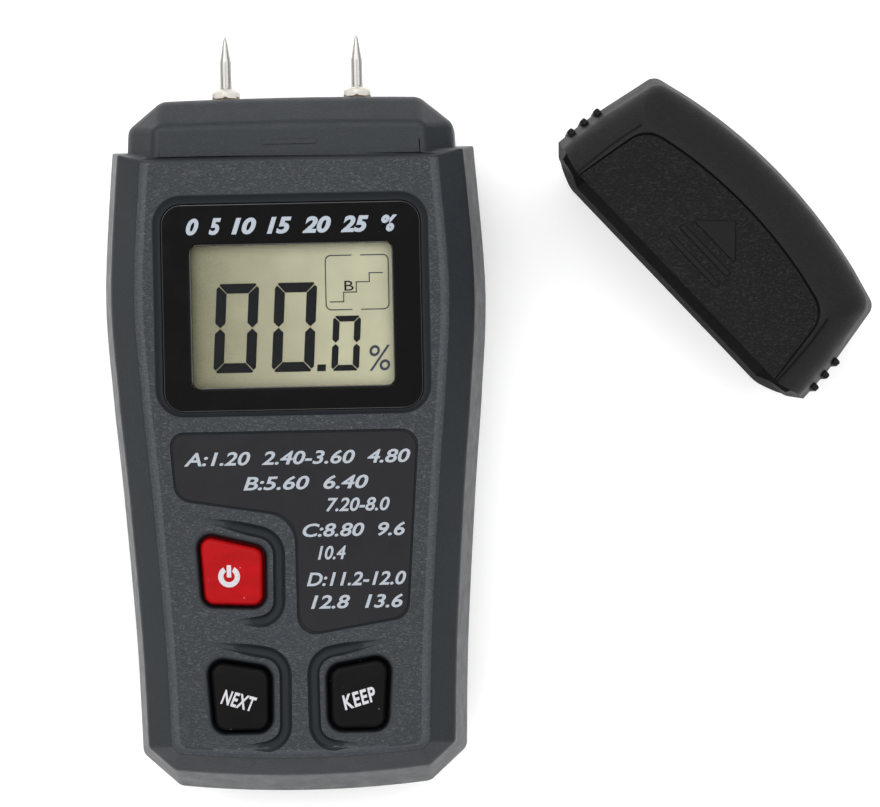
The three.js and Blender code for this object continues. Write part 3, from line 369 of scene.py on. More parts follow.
def drop_slivers(work):
    bmesh.ops.dissolve_degenerate(work, edges=work.edges, dist=MERGE)


def face_outwards(work):
    bmesh.ops.recalc_face_normals(work, faces=work.faces)


def rework(mesh, *steps):
    work = bmesh.new()
    work.from_mesh(mesh)
    for step in steps:
        step(work)
    work.to_mesh(mesh)
    work.free()


def settle(piece, sharp=32, weighted=True):
    """Cleans the mesh, shades it smooth with crisp edges, and lets large faces lead the normals."""
    rework(piece.data, merge_doubles, drop_slivers, face_outwards)
    piece.data.shade_smooth()
    piece.data.set_sharp_from_angle(angle=math.radians(sharp))
    if weighted:
        lead = piece.modifiers.new("even_shading", "WEIGHTED_NORMAL")
        lead.keep_sharp = True
    return piece


def place(piece, body, node_name, slot, *finishes):
    """Gives a piece its finishes, its body and the CAD node that it stands in for; its slot is not used."""
    for finish in finishes:
        piece.data.materials.append(finish)
    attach(piece, body)
    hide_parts(node_name)


def flat_finish(piece, level, index, slack=0.02):
    """Gives the faces that lie flat at a level another of the piece's finishes."""
    for face in piece.data.polygons:
        if abs(face.normal.z) > 0.999 and abs(face.center.z / MM - level) < slack:
            face.material_index = index


# ---- Finishes ----
def finish_tree(name):
    material = bpy.data.materials.new(name)
    material.use_nodes = True
    tree = material.node_tree
    return material, tree, tree.nodes["Principled BSDF"]


def node(tree, kind, **values):
    made = tree.nodes.new(kind)
    for key, value in values.items():
        if key in made.inputs:
            made.inputs[key].default_value = value
        else:
            setattr(made, key, value)
    return made


def link(tree, out, into):
    tree.links.new(out, into)


def object_space(tree):
    return node(tree, "ShaderNodeTexCoord").outputs["Object"]


def axes(tree, place_out):
    """Splits a place into its outputs X, Y and Z."""
    made = node(tree, "ShaderNodeSeparateXYZ")
    link(tree, place_out, made.inputs["Vector"])
    return made.outputs


def noise(tree, scale, detail=4, rough=0.55, distortion=0.0, stretch=None):
    source = object_space(tree)
    if stretch:
        mapping = node(tree, "ShaderNodeMapping", Scale=stretch)
        link(tree, source, mapping.inputs["Vector"])
        source = mapping.outputs["Vector"]
    made = node(tree, "ShaderNodeTexNoise", Scale=scale, Detail=detail, Roughness=rough,
                Distortion=distortion)
    link(tree, source, made.inputs["Vector"])
    return made.outputs["Fac"]


def mixed(tree, share, first, second):
    """A colour that goes from an output to a fixed colour."""
    made = node(tree, "ShaderNodeMix", data_type="RGBA")
    link(tree, share, made.inputs["Factor"])
    link(tree, first, made.inputs["A"])
    made.inputs["B"].default_value = (*second, 1)
    return made.outputs["Result"]


def ramp(tree, source, stops):
    made = tree.nodes.new("ShaderNodeValToRGB")
    elements = made.color_ramp.elements
    while len(elements) < len(stops):
        elements.new(0.5)
    for element, (at, colour) in zip(elements, stops):
        element.position = at
        element.color = (*colour, 1)
    link(tree, source, made.inputs["Fac"])
    return made.outputs["Color"]


def span(tree, source, low, high, from_low=0.3, from_high=0.7):
    """Spreads a stretch of a value over another."""
    made = node(tree, "ShaderNodeMapRange")
    ends = {"From Min": from_low, "From Max": from_high, "To Min": low, "To Max": high}
    for name, value in ends.items():
        made.inputs[name].default_value = value
    link(tree, source, made.inputs["Value"])
    return made.outputs["Result"]


def shade(colour, factor):
    return tuple(min(1, c * factor) for c in colour[:3])


def relief(tree, shader, sources, distance):
    """Chains bumps from (height, strength) pairs onto the shader's normal."""
    last = None
    for height, strength in sources:
        bump = node(tree, "ShaderNodeBump", Strength=strength, Distance=distance)
        link(tree, height, bump.inputs["Height"])
        if last:
            link(tree, last, bump.inputs["Normal"])
        last = bump.outputs["Normal"]
    link(tree, last, shader.inputs["Normal"])


def moulded(name, colour, roughness, mottle=0.08, grain=0.0, grain_size=0.5, fine=0.15, specular=0.5,
            painted_glints=0.0):
    """Moulded plastic: slow colour drift, uneven gloss, fine surface and an optional grain whose crests carry
    painted glints, highlights painted into the colour.
    """
    material, tree, shader = finish_tree(name)
    drift = noise(tree, 60, 3)
    tone = ramp(tree, drift, [(0.3, shade(colour, 1 - mottle)), (0.7, shade(colour, 1 + mottle))])
    gloss = noise(tree, 350, 5)
    link(tree, span(tree, gloss, roughness - 0.06, roughness + 0.06), shader.inputs["Roughness"])
    heights = [(noise(tree, 5200, 3), fine)]
    if grain:
        pebble = noise(tree, 1000 / grain_size, 1.5, 0.5, 1.2, (0.55, 1, 1))
        heights.append((pebble, grain))
        # The grain's crests get a painted glint: a highlight painted into the colour, not a reflection.
        painted_glint_mask = span(tree, pebble, 0, 1, 0.5, 0.7)
        grey = sum(colour[:3]) / 3
        painted_glint = [(1 + painted_glints) * (0.4 * c + 0.6 * grey) for c in colour[:3]]
        tone = mixed(tree, painted_glint_mask, tone, painted_glint)
    link(tree, tone, shader.inputs["Base Color"])
    shader.inputs["Specular IOR Level"].default_value = specular
    relief(tree, shader, heights, 0.0002)
    return material


def metal(name, colour, roughness, stretch=(1, 1, 1), scratch=0.25, scale=900):
    """Turned or plated metal with fine tool marks running round or along it."""
    material, tree, shader = finish_tree(name)
    marks = noise(tree, scale, 4, 0.6, 0, stretch)
    tone = ramp(tree, marks, [(0.3, shade(colour, 0.86)), (0.7, shade(colour, 1.08))])
    link(tree, tone, shader.inputs["Base Color"])
    link(tree, span(tree, marks, roughness - 0.07, roughness + 0.1), shader.inputs["Roughness"])
    shader.inputs["Metallic"].default_value = 1
    relief(tree, shader, [(marks, scratch)], 0.00003)
    return material


def rubber(name, colour, dust, roughness=0.5):
    """Moulded silicone rubber with faint wipe marks and specks of dust."""
    material, tree, shader = finish_tree(name)
    drift = noise(tree, 260, 4, 0.6, 0.4, (0.5, 1.6, 1))
    tone = ramp(tree, drift, [(0.35, shade(colour, 0.9)), (0.68, shade(colour, 1.1))])
    speck = node(tree, "ShaderNodeTexVoronoi", Scale=520.0)
    link(tree, object_space(tree), speck.inputs["Vector"])
    grit = span(tree, speck.outputs["Distance"], 1, 0, 0.035, 0.075)
    link(tree, mixed(tree, grit, tone, dust), shader.inputs["Base Color"])
    link(tree, span(tree, drift, roughness - 0.07, roughness + 0.08), shader.inputs["Roughness"])
    shader.inputs["Specular IOR Level"].default_value = 0.08
    relief(tree, shader, [(noise(tree, 4200, 3), 0.12)], 0.0001)
    return material


def ink(name, colour, roughness=0.5, specular=0.3):
    """Slightly uneven printed ink."""
    material, tree, shader = finish_tree(name)
    shader.inputs["Specular IOR Level"].default_value = specular
    patchy = noise(tree, 2400, 5, 0.65)
    tone = ramp(tree, patchy, [(0.3, shade(colour, 0.9)), (0.65, shade(colour, 1.05))])
    link(tree, tone, shader.inputs["Base Color"])
    link(tree, span(tree, patchy, roughness - 0.05, roughness + 0.08), shader.inputs["Roughness"])
    return material


def glass_black(name, colour):
    """Back-printed acrylic: deep black under a hard clear coat with faint specks of dust."""
    material, tree, shader = finish_tree(name)
    dust = noise(tree, 3000, 6, 0.7)
    link(tree, ramp(tree, dust, [(0.4, colour[:3]), (0.78, shade(colour, 1.9))]), shader.inputs["Base Color"])
    link(tree, span(tree, noise(tree, 180, 4), 0.05, 0.13), shader.inputs["Roughness"])
    shader.inputs["Coat Weight"].default_value = 0.3
    shader.inputs["Coat Roughness"].default_value = 0.03
    return material


def display_face(name, light, dark):
    """Reflective display: a painted sheen that falls off to one side, and fine sparkle."""
    material, tree, shader = finish_tree(name)
    where = axes(tree, object_space(tree))
    # The sheen is painted light: the colour grows lighter towards +x and slightly towards +y.
    across = span(tree, where["X"], 0, 1, -0.0165, 0.0130)
    up = span(tree, where["Y"], -0.02, 0.05, (LCD_Y - 12) * MM, (LCD_Y + 12) * MM)
    slope = node(tree, "ShaderNodeMath", operation="ADD")
    link(tree, across, slope.inputs[0])
    link(tree, up, slope.inputs[1])
    grainy = node(tree, "ShaderNodeMath", operation="MULTIPLY_ADD")
    link(tree, noise(tree, 3200, 4, 0.75), grainy.inputs[0])
    grainy.inputs[1].default_value = 0.34
    link(tree, slope.outputs[0], grainy.inputs[2])
    middle = tuple((a + b) / 2 for a, b in zip(light, dark))
    tone = ramp(tree, grainy.outputs[0], [(0.08, dark[:3]), (0.42, middle[:3]), (1.0, light[:3])])
    link(tree, tone, shader.inputs["Base Color"])
    shader.inputs["Roughness"].default_value = 0.5
    shader.inputs["Specular IOR Level"].default_value = 0.2
    relief(tree, shader, [(noise(tree, 4000, 2), 0.05)], 0.0001)
    return material


def pane_clear(name):
    """Almost clear acrylic with a faint haze."""
    material, tree, shader = finish_tree(name)
    haze = noise(tree, 240, 4)
    link(tree, span(tree, haze, 0.05, 0.09), shader.inputs["Alpha"])
    shader.inputs["Base Color"].default_value = (0.04, 0.04, 0.036, 1)
    shader.inputs["Roughness"].default_value = 0.06
    return material


def board_finish(name):
    """Laminate with a solder mask: copper runs show through as slightly lighter lines."""
    material, tree, shader = finish_tree(name)
    runs = node(tree, "ShaderNodeTexBrick", Scale=260.0)
    link(tree, object_space(tree), runs.inputs["Vector"])
    runs.inputs["Color1"].default_value = (0.012, 0.09, 0.03, 1)
    runs.inputs["Color2"].default_value = (0.018, 0.12, 0.04, 1)
    runs.inputs["Mortar"].default_value = (0.03, 0.2, 0.07, 1)
    runs.inputs["Mortar Size"].default_value = 0.05
    link(tree, runs.outputs["Color"], shader.inputs["Base Color"])
    link(tree, span(tree, noise(tree, 300, 4), 0.3, 0.45), shader.inputs["Roughness"])
    relief(tree, shader, [(runs.outputs["Fac"], 0.3)], 0.00005)
    return material


def sleeve_finish(name, dark, light):
    """Printed steel sleeve of the battery: a dark body and a paler end, split across its length."""
    material, tree, shader = finish_tree(name)
    where = axes(tree, object_space(tree))
    split = BATTERY_LOW.y + 0.68 * (BATTERY_HIGH.y - BATTERY_LOW.y)
    side = span(tree, where["Y"], 0, 1, (split - 0.1) * MM, (split + 0.1) * MM)
    link(tree, ramp(tree, side, [(0.45, dark[:3]), (0.55, light[:3])]), shader.inputs["Base Color"])
    link(tree, span(tree, noise(tree, 400, 5), 0.22, 0.36), shader.inputs["Roughness"])
    shader.inputs["Metallic"].default_value = 0.55
    relief(tree, shader, [(noise(tree, 900, 4), 0.08)], 0.0001)
    return material


# ---- The case's halves ----
def ring_maker(outline):
    points, radii, kinds = outline

    def ring(insets, swell=1.0):
        return rounded(inset_outline(points, [insets[kind] for kind in kinds]), [r * swell for r in radii])

    return ring


def half_rows(ring, rows, side, swell=0.0):
    """Rows of one half, from the parting plane out; the plan's roundings may swell towards the face."""
    made = [(ring(insets, 1 + swell * height / HALF), HALF + side * height) for height, insets in rows]
    return made if side > 0 else made[::-1]


def hard_rows(kinds, skirt, half, wall, ceiling):
    """Rows of a hollow: the same walls moved in, up to its ceiling."""
    low, high = kinds["side"]
    slope0, slope1 = low / skirt, (high - low) / (half - skirt)
    knee = skirt - wall * (math.hypot(1, slope1) - math.hypot(1, slope0)) / (slope1 - slope0)
    rows = []
    for height in (-0.5, knee, ceiling):
        insets = {k: inset_at(pair, skirt, half, height, wall) if k != "root" else 0 for k,
                  pair in kinds.items()}
        rows.append((height, insets))
    return rows


def case_half(name, side, brow):
    """One half of the case as a solid, without its nose: side is 1 for the front and -1 for the back."""
    rows = soft_rows(CASE_KINDS, SKIRT, HALF, PARTING_EDGE, 0.35, 0.8 * brow, brow)
    return solid(name, half_rows(ring_maker(case_outline()), rows, side))


def half_shell(name, side, ceiling, brow):
    """Outer skin of one half with its nose, hollowed, and bored for the probes' sockets."""
    outer, nose_ring = case_half(name, side, brow), ring_maker(nose_outline())
    nose_rows = soft_rows(NOSE_KINDS, NOSE_SKIRT, NOSE_HALF, PARTING_EDGE, 1.1, 0.8, 0.9)
    nose_rows = [(height, {**insets, "root": 0}) for height, insets in nose_rows]
    carve(outer, solid("nose", half_rows(nose_ring, nose_rows, side, -0.7)), "UNION")
    rows = hard_rows(CASE_KINDS, SKIRT, HALF, WALL, ceiling)
    carve(outer, solid("hollow", half_rows(ring_maker(case_outline()), rows, side)))
    nose_rows = hard_rows(NOSE_KINDS, NOSE_SKIRT, NOSE_HALF, NOSE_WALL, NOSE_HALF - NOSE_WALL)
    carve(outer, solid("nose_hollow", half_rows(nose_ring, nose_rows, side)))
    for x in PROBE_PLACES:
        carve(outer, turned("bore", [(2.65, 0), (2.65, 6)], (x, NOSE_Y - 3.8, HALF)))
    return outer


def rim_rows(outline_at, margin, soften, depth, level, side=1):
    """Cutter rows for a hole with a rounded rim: from its floor to above the face."""
    rows = [(outline_at(margin), level - side * depth)]
    for i in range(RIM_STEPS + 1):
        a = math.radians(90 - 82 * i / RIM_STEPS)
        rows.append((outline_at(margin + soften * (1 - math.sin(a))),
                     level - side * soften * (1 - math.cos(a))))
    rows.append((rows[-1][0], level + side))
    return rows if side > 0 else rows[::-1]


# ---- Keys ----
POWER_CORNERS = [(-4.5, -4.8, 1.6), (4.8, -5.2, 1.6), (4.9, 3.8, 1.6), (-5.2, 6.3, 1.6)]
KEY_CORNERS = [(-4.1, -5.2, 1.8), (4.5, -5.2, 1.9), (4.6, 4.5, 1.9), (-4.9, 6.2, 1.9)]
KEYS = {
    "power": ((-10.55, -20.6), POWER_CORNERS, 1),
    "mode": ((-9.6, -40.9), KEY_CORNERS, 1),
    "hold": ((9.6, -40.9), KEY_CORNERS, -1),
}
WELL_GAP = 0.9
GROOVE_GAP = 2.75
GROOVE_STEPS = 70
KEY_RISE = 0.62
KEY_SOFTEN = 0.75
KEY_FLANGE = ROOF - 0.3


def key_outline(name, margin, steps=8):
    (x, y), corners, flip = KEYS[name]
    placed = [((x + flip * dx, y + dy), r) for dx, dy, r in corners]
    placed = placed if flip > 0 else placed[::-1]
    points = grown([p for p, _ in placed], margin)
    return rounded(points, [max(r + margin, 0.3) for _, r in placed], steps)


def crescent(name):
    """Cutter for the curved groove beside a key: its path runs from under the key, up its inner side
    and back over its top, and it fades out at both ends."""
    (x, y), corners, flip = KEYS[name]
    points = grown([(dx, dy) for dx, dy, _ in corners], GROOVE_GAP)
    arcs = rounded(points, [0.1, 3.4, 3.8, 0.1], 10)
    bottom_left, bottom_right, top_right, top_left = (Vector(point) for point in points)
    path = [bottom_left.lerp(bottom_right, 0.5)] + [Vector(at) for at in arcs[11:33]]
    path.append(top_left.lerp(top_right, 0.22))
    lengths = [0]
    for a, b in zip(path, path[1:]):
        lengths.append(lengths[-1] + (b - a).length)
    total = lengths[-1]
    spread = [-math.cos(math.pi * i / 14) for i in range(15)]
    floor = [(a, -((1 - abs(a) ** (3.4 if a < 0 else 2)) ** 0.9)) for a in spread]
    section = [(-1, 1.0)] + floor + [(1, 1.0)]
    skin = Skin()
    rings = []
    k = 0
    for step in range(GROOVE_STEPS + 1):
        far = total * step / GROOVE_STEPS
        while k < len(path) - 2 and lengths[k + 1] < far:
            k += 1
        a, b = path[k], path[k + 1]
        here = a.lerp(b, (far - lengths[k]) / (lengths[k + 1] - lengths[k]))
        ahead = (b - a).normalized()
        if 0 < k and far - lengths[k] < 0.3:
            ahead = (ahead + (a - path[k - 1]).normalized()).normalized()
        out = Vector((ahead.y, -ahead.x))
        fade = min(1, far / 5, (total - far) / 7.5)
        fade = fade * fade * (3 - 2 * fade)
        width, depth = 0.35 + 0.65 * fade, 0.012 + 0.85 * fade
        ring = []
        for across, level in section:
            at = here + out * (across * width)
            ring.append((x + flip * at.x, y + at.y, FACE + (level if level > 0 else level * depth)))
        rings.append(skin.loop(ring))
    skin.bands(rings)
    skin.plug(rings)
    tool = skin.make("crescent")
    rework(tool.data, face_outwards)
    return tool


def key_top(name, x, y):
    """Height of a key's top: a low crown with a soft wave across it."""
    (cx, cy), _, flip = KEYS[name]
    dx, dy = flip * (x - cx), y - cy
    crown = 0.16 * (1 - (dx / 5.6) ** 2) * (1 - (dy / 6.6) ** 2)
    wave = 0.1 * math.sin((dy + 0.22 * dx) * 2 * math.pi / 9.5 + 0.6)
    return FACE + KEY_RISE + crown + 1.5 * wave * max(0, 1 - (abs(dy) / 7) ** 4)


def key_solid(name):
    """A key with its flange, its waved top and the pocket for its plunger."""
    skin = Skin()
    centre, rim = KEYS[name][0], FACE - 0.1
    flange = KEY_FLANGE
    rows = [(1.7, flange - 0.8), (1.7, flange), (0.05, flange), (0, flange + 0.2), (0, rim)]
    rings = [skin.ring(key_outline(name, margin), z) for margin, z in rows]
    for i in range(1, 7):
        a = math.radians(90 * i / 6)
        outline = key_outline(name, -KEY_SOFTEN * (1 - math.cos(a)))
        rings.append(skin.loop([(x, y, rim + (key_top(name, x, y) - rim) * math.sin(a)) for x, y in outline]))
    edge = key_outline(name, -KEY_SOFTEN)
    for i in range(1, 9):
        shrunk = [Vector(centre).lerp(Vector(point), 1 - i / 9) for point in edge]
        rings.append(skin.loop([(x, y, key_top(name, x, y)) for x, y in shrunk]))
    skin.bands(rings)
    skin.lid([rings[0]], up=False)
    tip = len(skin.points)
    skin.points.append((*centre, key_top(name, *centre)))
    last = rings[-1]
    skin.faces += [(last[i], last[(i + 1) % len(last)], tip) for i in range(len(last))]
    made = skin.make(name + "_key_top")
    carve(made, slab("pocket", rounded_box(7.2, 7.2, centre, 0.3, 3), flange - 2, FACE - 1.7))
    return made


# ---- Printed marks ----
def print_polygons(name, polygons, height_at, thickness=0.03):
    """Closed thin marks on a surface: each polygon is a list of (x, y)."""
    skin = Skin()
    for outline in polygons:
        low, high = (
            skin.loop([(x, y, height_at(x, y) + lift) for x, y in outline])
            for lift in (-thickness, thickness))
        skin.band(low, high)
        skin.lid([low], up=False)
        skin.lid([high], up=True)
    return skin.make(name)


def lettering(name, words, centre, width, height, height_at, slant=0.0, weight=0.0, turn=0.0, spacing=1.0):
    """Words as thin raised ink, fitted to a width and height and laid on a surface."""
    text = bpy.data.curves.new(name, "FONT")
    text.body = words
    text.shear = slant
    text.offset = weight
    text.space_character = spacing
    text.resolution_u = 4
    text.extrude = 0.02
    carrier = bpy.data.objects.new(name, text)
    bpy.context.scene.collection.objects.link(carrier)
    bpy.context.view_layer.update()
    mesh = final_mesh(carrier)
    bpy.data.objects.remove(carrier)
    bpy.data.curves.remove(text)
    xs, ys = [v.co.x for v in mesh.vertices], [v.co.y for v in mesh.vertices]
    wide, tall = max(xs) - min(xs), max(ys) - min(ys)
    mid_x, mid_y = (max(xs) + min(xs)) / 2, (max(ys) + min(ys)) / 2
    c, s = math.cos(turn), math.sin(turn)
    for vertex in mesh.vertices:
        u = (vertex.co.x - mid_x) / wide * width
        v = (vertex.co.y - mid_y) / tall * height
        x, y = centre[0] + u * c - v * s, centre[1] + u * s + v * c
        lift = 0.03 if vertex.co.z > 0 else -0.03
        vertex.co = Vector((x, y, height_at(x, y) + lift)) * MM
    piece = bpy.data.objects.new(name, mesh)
    bpy.context.scene.collection.objects.link(piece)
    rework(mesh, merge_doubles)
    return piece


def stroke(path, width):
    """A line of one width as short closed pieces, one for each stretch."""
    out = []
    for a, b in zip(path, path[1:]):
        a, b = Vector(a), Vector(b)
        ahead = (b - a).normalized() * (width / 2)
        side = Vector((-ahead.y, ahead.x))
        a, b = a - ahead, b + ahead
        out.append([tuple(a - side), tuple(b - side), tuple(b + side), tuple(a + side)])
    return out


def zero_digit(left, bottom, width, height, thick, bar, slant=0.06):
    """The six lit segments of a nought, with mitred joints and pointed middles."""
    gap, middle, tip, cut = 0.05, height * 0.493, thick * 0.47, thick * 0.32
    point = middle + 0.16
    upper = [
        (0, height - cut - 0.25), (cut * 0.7, height - cut * 0.7 - gap),
        (thick - gap, height - bar - gap * 2),
        (thick - gap, point + tip), (thick / 2, point), (0, point + tip)]
    top = [
        (cut * 0.7 + gap, height - cut * 0.45), (cut + gap, height), (width - cut - gap, height),
        (width - cut * 0.7 - gap, height - cut * 0.45), (width - thick, height - bar), (thick, height - bar)]
    parts = [top[::-1], upper[::-1], [(width - x, y) for x, y in upper]]
    for shape in list(parts):
        parts.append([(x, height - y) for x, y in shape][::-1])
    return [[(left + x + slant * y, bottom + y) for x, y in shape] for shape in parts]


# ---- Cap ----
CAP_TURN = math.radians(-47.5)
CAP_AT = (62.7, 26.05)
CAP_LENGTH = 26
CAP_X = SHOULDER_X - 0.55
CAP_MOUTH = 2.7
CAP_CORNER_INSET = 3
CAP_CORNER = (CAP_X - CAP_CORNER_INSET, CAP_LENGTH - 4)
CAP_BULGE = 0.45
CAP_WALL = 2.1
CAP_GAP = 0.35
CAP_KINDS = {"side": (2, 6.7), "crown": (2, 9.2), "mouth": (-1.2, -CAP_MOUTH)}
PANEL_DEPTH = 0.5
PANEL_DROP = 9.9
PANEL_INSET = 7.2
PANEL_ROUNDING = 5.4


def cap_crown(corner_x, corner_y, middle_y, steps=12):
    """The crown's arc, from its corner to the middle."""
    shares = [1 - i / steps for i in range(steps + 1)]
    return [(corner_x * share, middle_y - (middle_y - corner_y) * share**2) for share in shares]


def cap_edge(y):
    """How far the cap's side stands out at a height above its mouth."""
    along = (y - CAP_MOUTH) / (CAP_CORNER[1] - CAP_MOUTH)
    return CAP_X - CAP_CORNER_INSET * along + 4 * CAP_BULGE * along * (1 - along)


def cap_outline():
    crown = cap_crown(*CAP_CORNER, CAP_LENGTH)
    half = [((CAP_X, CAP_MOUTH), 0, "side")]
    for t in (1 / 8, 2 / 8, 3 / 8):
        y = CAP_MOUTH + (CAP_CORNER[1] - CAP_MOUTH) * t
        half.append(((cap_edge(y), y), 0, "side"))
    half.append((crown[0], 2.2, "crown"))
    half += [(point, 0, "crown") for point in crown[1:] if CAP_CORNER[0] - point[0] > 6.5]
    return mirrored(half, "mouth")


def panel_outline(margin):
    """The sunk panel of the cap, open towards the mouth."""
    lean = CAP_CORNER_INSET / (CAP_CORNER[1] - CAP_MOUTH)
    top, edge = CAP_LENGTH - PANEL_DROP + margin, CAP_X - PANEL_INSET + margin
    corner_y = top - 2.8
    corner_x = edge - lean * (corner_y - CAP_MOUTH)
    crown = cap_crown(corner_x, corner_y, top)
    half = [((edge + lean * 8.7, -6), 0, ""), (crown[0], PANEL_ROUNDING, "")]
    half += [(point, 0, "") for point in crown[1:] if corner_x - point[0] > PANEL_ROUNDING]
    points, radii, _ = mirrored(half, " ")
    return rounded(points, radii, 8)


def cap_solid():
    """The cap without its hollow; its mouth slopes as the case's shoulder does."""
    ring, rows = ring_maker(cap_outline()), []
    for height, insets in soft_rows(CAP_KINDS, SKIRT, HALF, 0.12, 2.2, 1.2, 1.0, 6):
        slope = -inset_at(CASE_KINDS["shoulder"], SKIRT, HALF, min(height, HALF))
        rows.append((height, {**insets, "mouth": slope}))
    return solid("cap_shell", half_rows(ring, rows, -1, 0.7) + half_rows(ring, rows, 1, 0.7))


def cap_hollow_rows():
    """Cutter rows for the room in the cap: the nose's shape grown by a gap, and open at the mouth."""
    corner_y = NOSE_CORNER_Y - (SHOULDER_Y - CAP_MOUTH + 0.3)
    inner_x, inner_y = CAP_CORNER[0] - CAP_WALL, CAP_CORNER[1] - CAP_WALL
    crown = cap_crown(inner_x + CAP_GAP, inner_y + CAP_GAP, CAP_LENGTH - CAP_WALL + CAP_GAP, 8)
    half = [((NOSE_X, -CAP_MOUTH), 0, "side"), ((NOSE_CORNER_X, corner_y), 0, "side")]
    points, _, kinds = mirrored(half + [(point, 0, "top") for point in crown], "mouth")
    rows = []
    for height in (0, NOSE_SKIRT + CAP_GAP / 2, NOSE_HALF + CAP_GAP):
        insets = {
            "side": inset_at(NOSE_KINDS["side"], NOSE_SKIRT, NOSE_HALF, height, -CAP_GAP),
            "top": inset_at(NOSE_KINDS["top"], NOSE_SKIRT, NOSE_HALF, height, CAP_GAP), "mouth": 0}
        rows.append((inset_outline(points, [insets[kind] for kind in kinds]), height))
    down = [(outline, HALF - height) for outline, height in rows[:0:-1]]
    return down + [(outline, HALF + height) for outline, height in rows]


def cap_place(piece):
    """Turns a piece of the cap and lays it beside the meter."""
    spot = Matrix.Translation(Vector((*CAP_AT, 0)) * MM) @ Matrix.Rotation(CAP_TURN, 4, "Z")
    piece.data.transform(spot)


# ---- Settings ----
def colour_property(name, description, default):
    return bpy.props.FloatVectorProperty(
        name=name, description=description, subtype="COLOR", size=4, min=0, max=1, default=(*default, 1))


class METER_case_settings(bpy.types.PropertyGroup):
    colour: colour_property("Case colour", "Colour of the moulded case", (0.024, 0.030, 0.0365))
    grain: bpy.props.FloatProperty(
        name="Face grain", description="Strength of the grain on the flat faces", default=1.0, min=0, max=1)
    brow: bpy.props.FloatProperty(
        name="Brow", description="Rounding of the face's edge", default=0.0009, unit="LENGTH")


class METER_key_settings(bpy.types.PropertyGroup):
    power_colour: colour_property("Power key", "Colour of the power key's rubber", (0.33, 0.0028, 0.0045))
    key_colour: colour_property("Other keys", "Colour of the other two keys", (0.0026, 0.0026, 0.0029))
    mark_colour: colour_property("Marks", "Colour of the marks on the keys", (0.5, 0.49, 0.52))


class METER_display_settings(bpy.types.PropertyGroup):
    # The display's lightest and darkest colours are the two ends of its painted sheen.
    light: colour_property("Light side", "Display colour where it is lightest", (0.46, 0.45, 0.31))
    dark: colour_property("Dark side", "Display colour where it is darkest", (0.125, 0.118, 0.066))
    segment: colour_property("Segments", "Colour of a lit segment", (0.0035, 0.0045, 0.0065))
    panel: colour_property("Lens", "Colour printed behind the lens", (0.0022, 0.0022, 0.0024))
    words: colour_property("Scale", "Colour of the scale on the lens", (0.33, 0.37, 0.42))


class METER_label_settings(bpy.types.PropertyGroup):
    colour: colour_property("Film", "Colour of the label film", (0.0105, 0.0105, 0.0125))
    words: colour_property("Print", "Colour of the label's print", (0.33, 0.36, 0.40))


class METER_probe_settings(bpy.types.PropertyGroup):
    pin: colour_property("Pins", "Colour of the steel pins", (0.42, 0.41, 0.39))
    nut: colour_property("Nuts", "Colour of the plated nuts", (0.8, 0.77, 0.71))


class METER_cap_settings(bpy.types.PropertyGroup):
    colour: colour_property("Cap colour", "Colour of the pin cap", (0.0062, 0.0062, 0.0066))
    grain: bpy.props.FloatProperty(
        name="Panel grain", description="Strength of the grain on the cap's panel", default=0.7, min=0, max=1)


class METER_stage_settings(bpy.types.PropertyGroup):
    distance: bpy.props.FloatProperty(
        name="Camera height", description="Height of the camera above the floor", default=0.48, unit="LENGTH")
    lens: bpy.props.FloatProperty(
        name="Lens", description="Focal length of the camera", default=113.6, unit="CAMERA")
    sky: bpy.props.FloatProperty(name="Room light", description="Brightness of the room", default=1.95)
    lamp: bpy.props.FloatProperty(name="Lamp", description="Power of the large lamp", default=1.0,
                                  unit="POWER")


SETTINGS = {
    "meter_case": METER_case_settings,
    "meter_keys": METER_key_settings,
    "meter_display": METER_display_settings,
    "meter_label": METER_label_settings,
    "meter_probes": METER_probe_settings,
    "meter_cap": METER_cap_settings,
    "meter_stage": METER_stage_settings,
}


# ---- Operators ----
SLOPE = 1.5
RIB = 1.2
LINE = 0.17
STUD, SHAFT = 1.2, 0.95
NUT_FLAT, NUT_SIDES, BORE = 2.25, 96, 1.5


def lens_outline(margin, top=0.0, bottom=0.0, steps=10):
    low, high = LENS_LOW, LENS_HIGH
    points = [
        (low.x - margin, low.y - margin - bottom), (high.x + margin, low.y - margin - bottom),
        (high.x + margin, high.y + margin + top), (low.x - margin, high.y + margin + top)]
    return rounded(points, [3.3 + margin] * 4, steps)


def label_outline(margin, steps=10):
    top = LABEL_HIGH.y
    corners = [
        ((0.2, FOOT_Y + 27.1), 3), ((17.75, FOOT_Y + 30), 2.8), ((19.95, top - 0.1), 2.6),
        ((-20.15, top), 2.2), ((-19.4, FOOT_Y + 49.75), 3), ((0.05, FOOT_Y + 46.65), 5)]
    points = grown([p for p, _ in corners], margin)
    return rounded(points, [r for _, r in corners], steps)


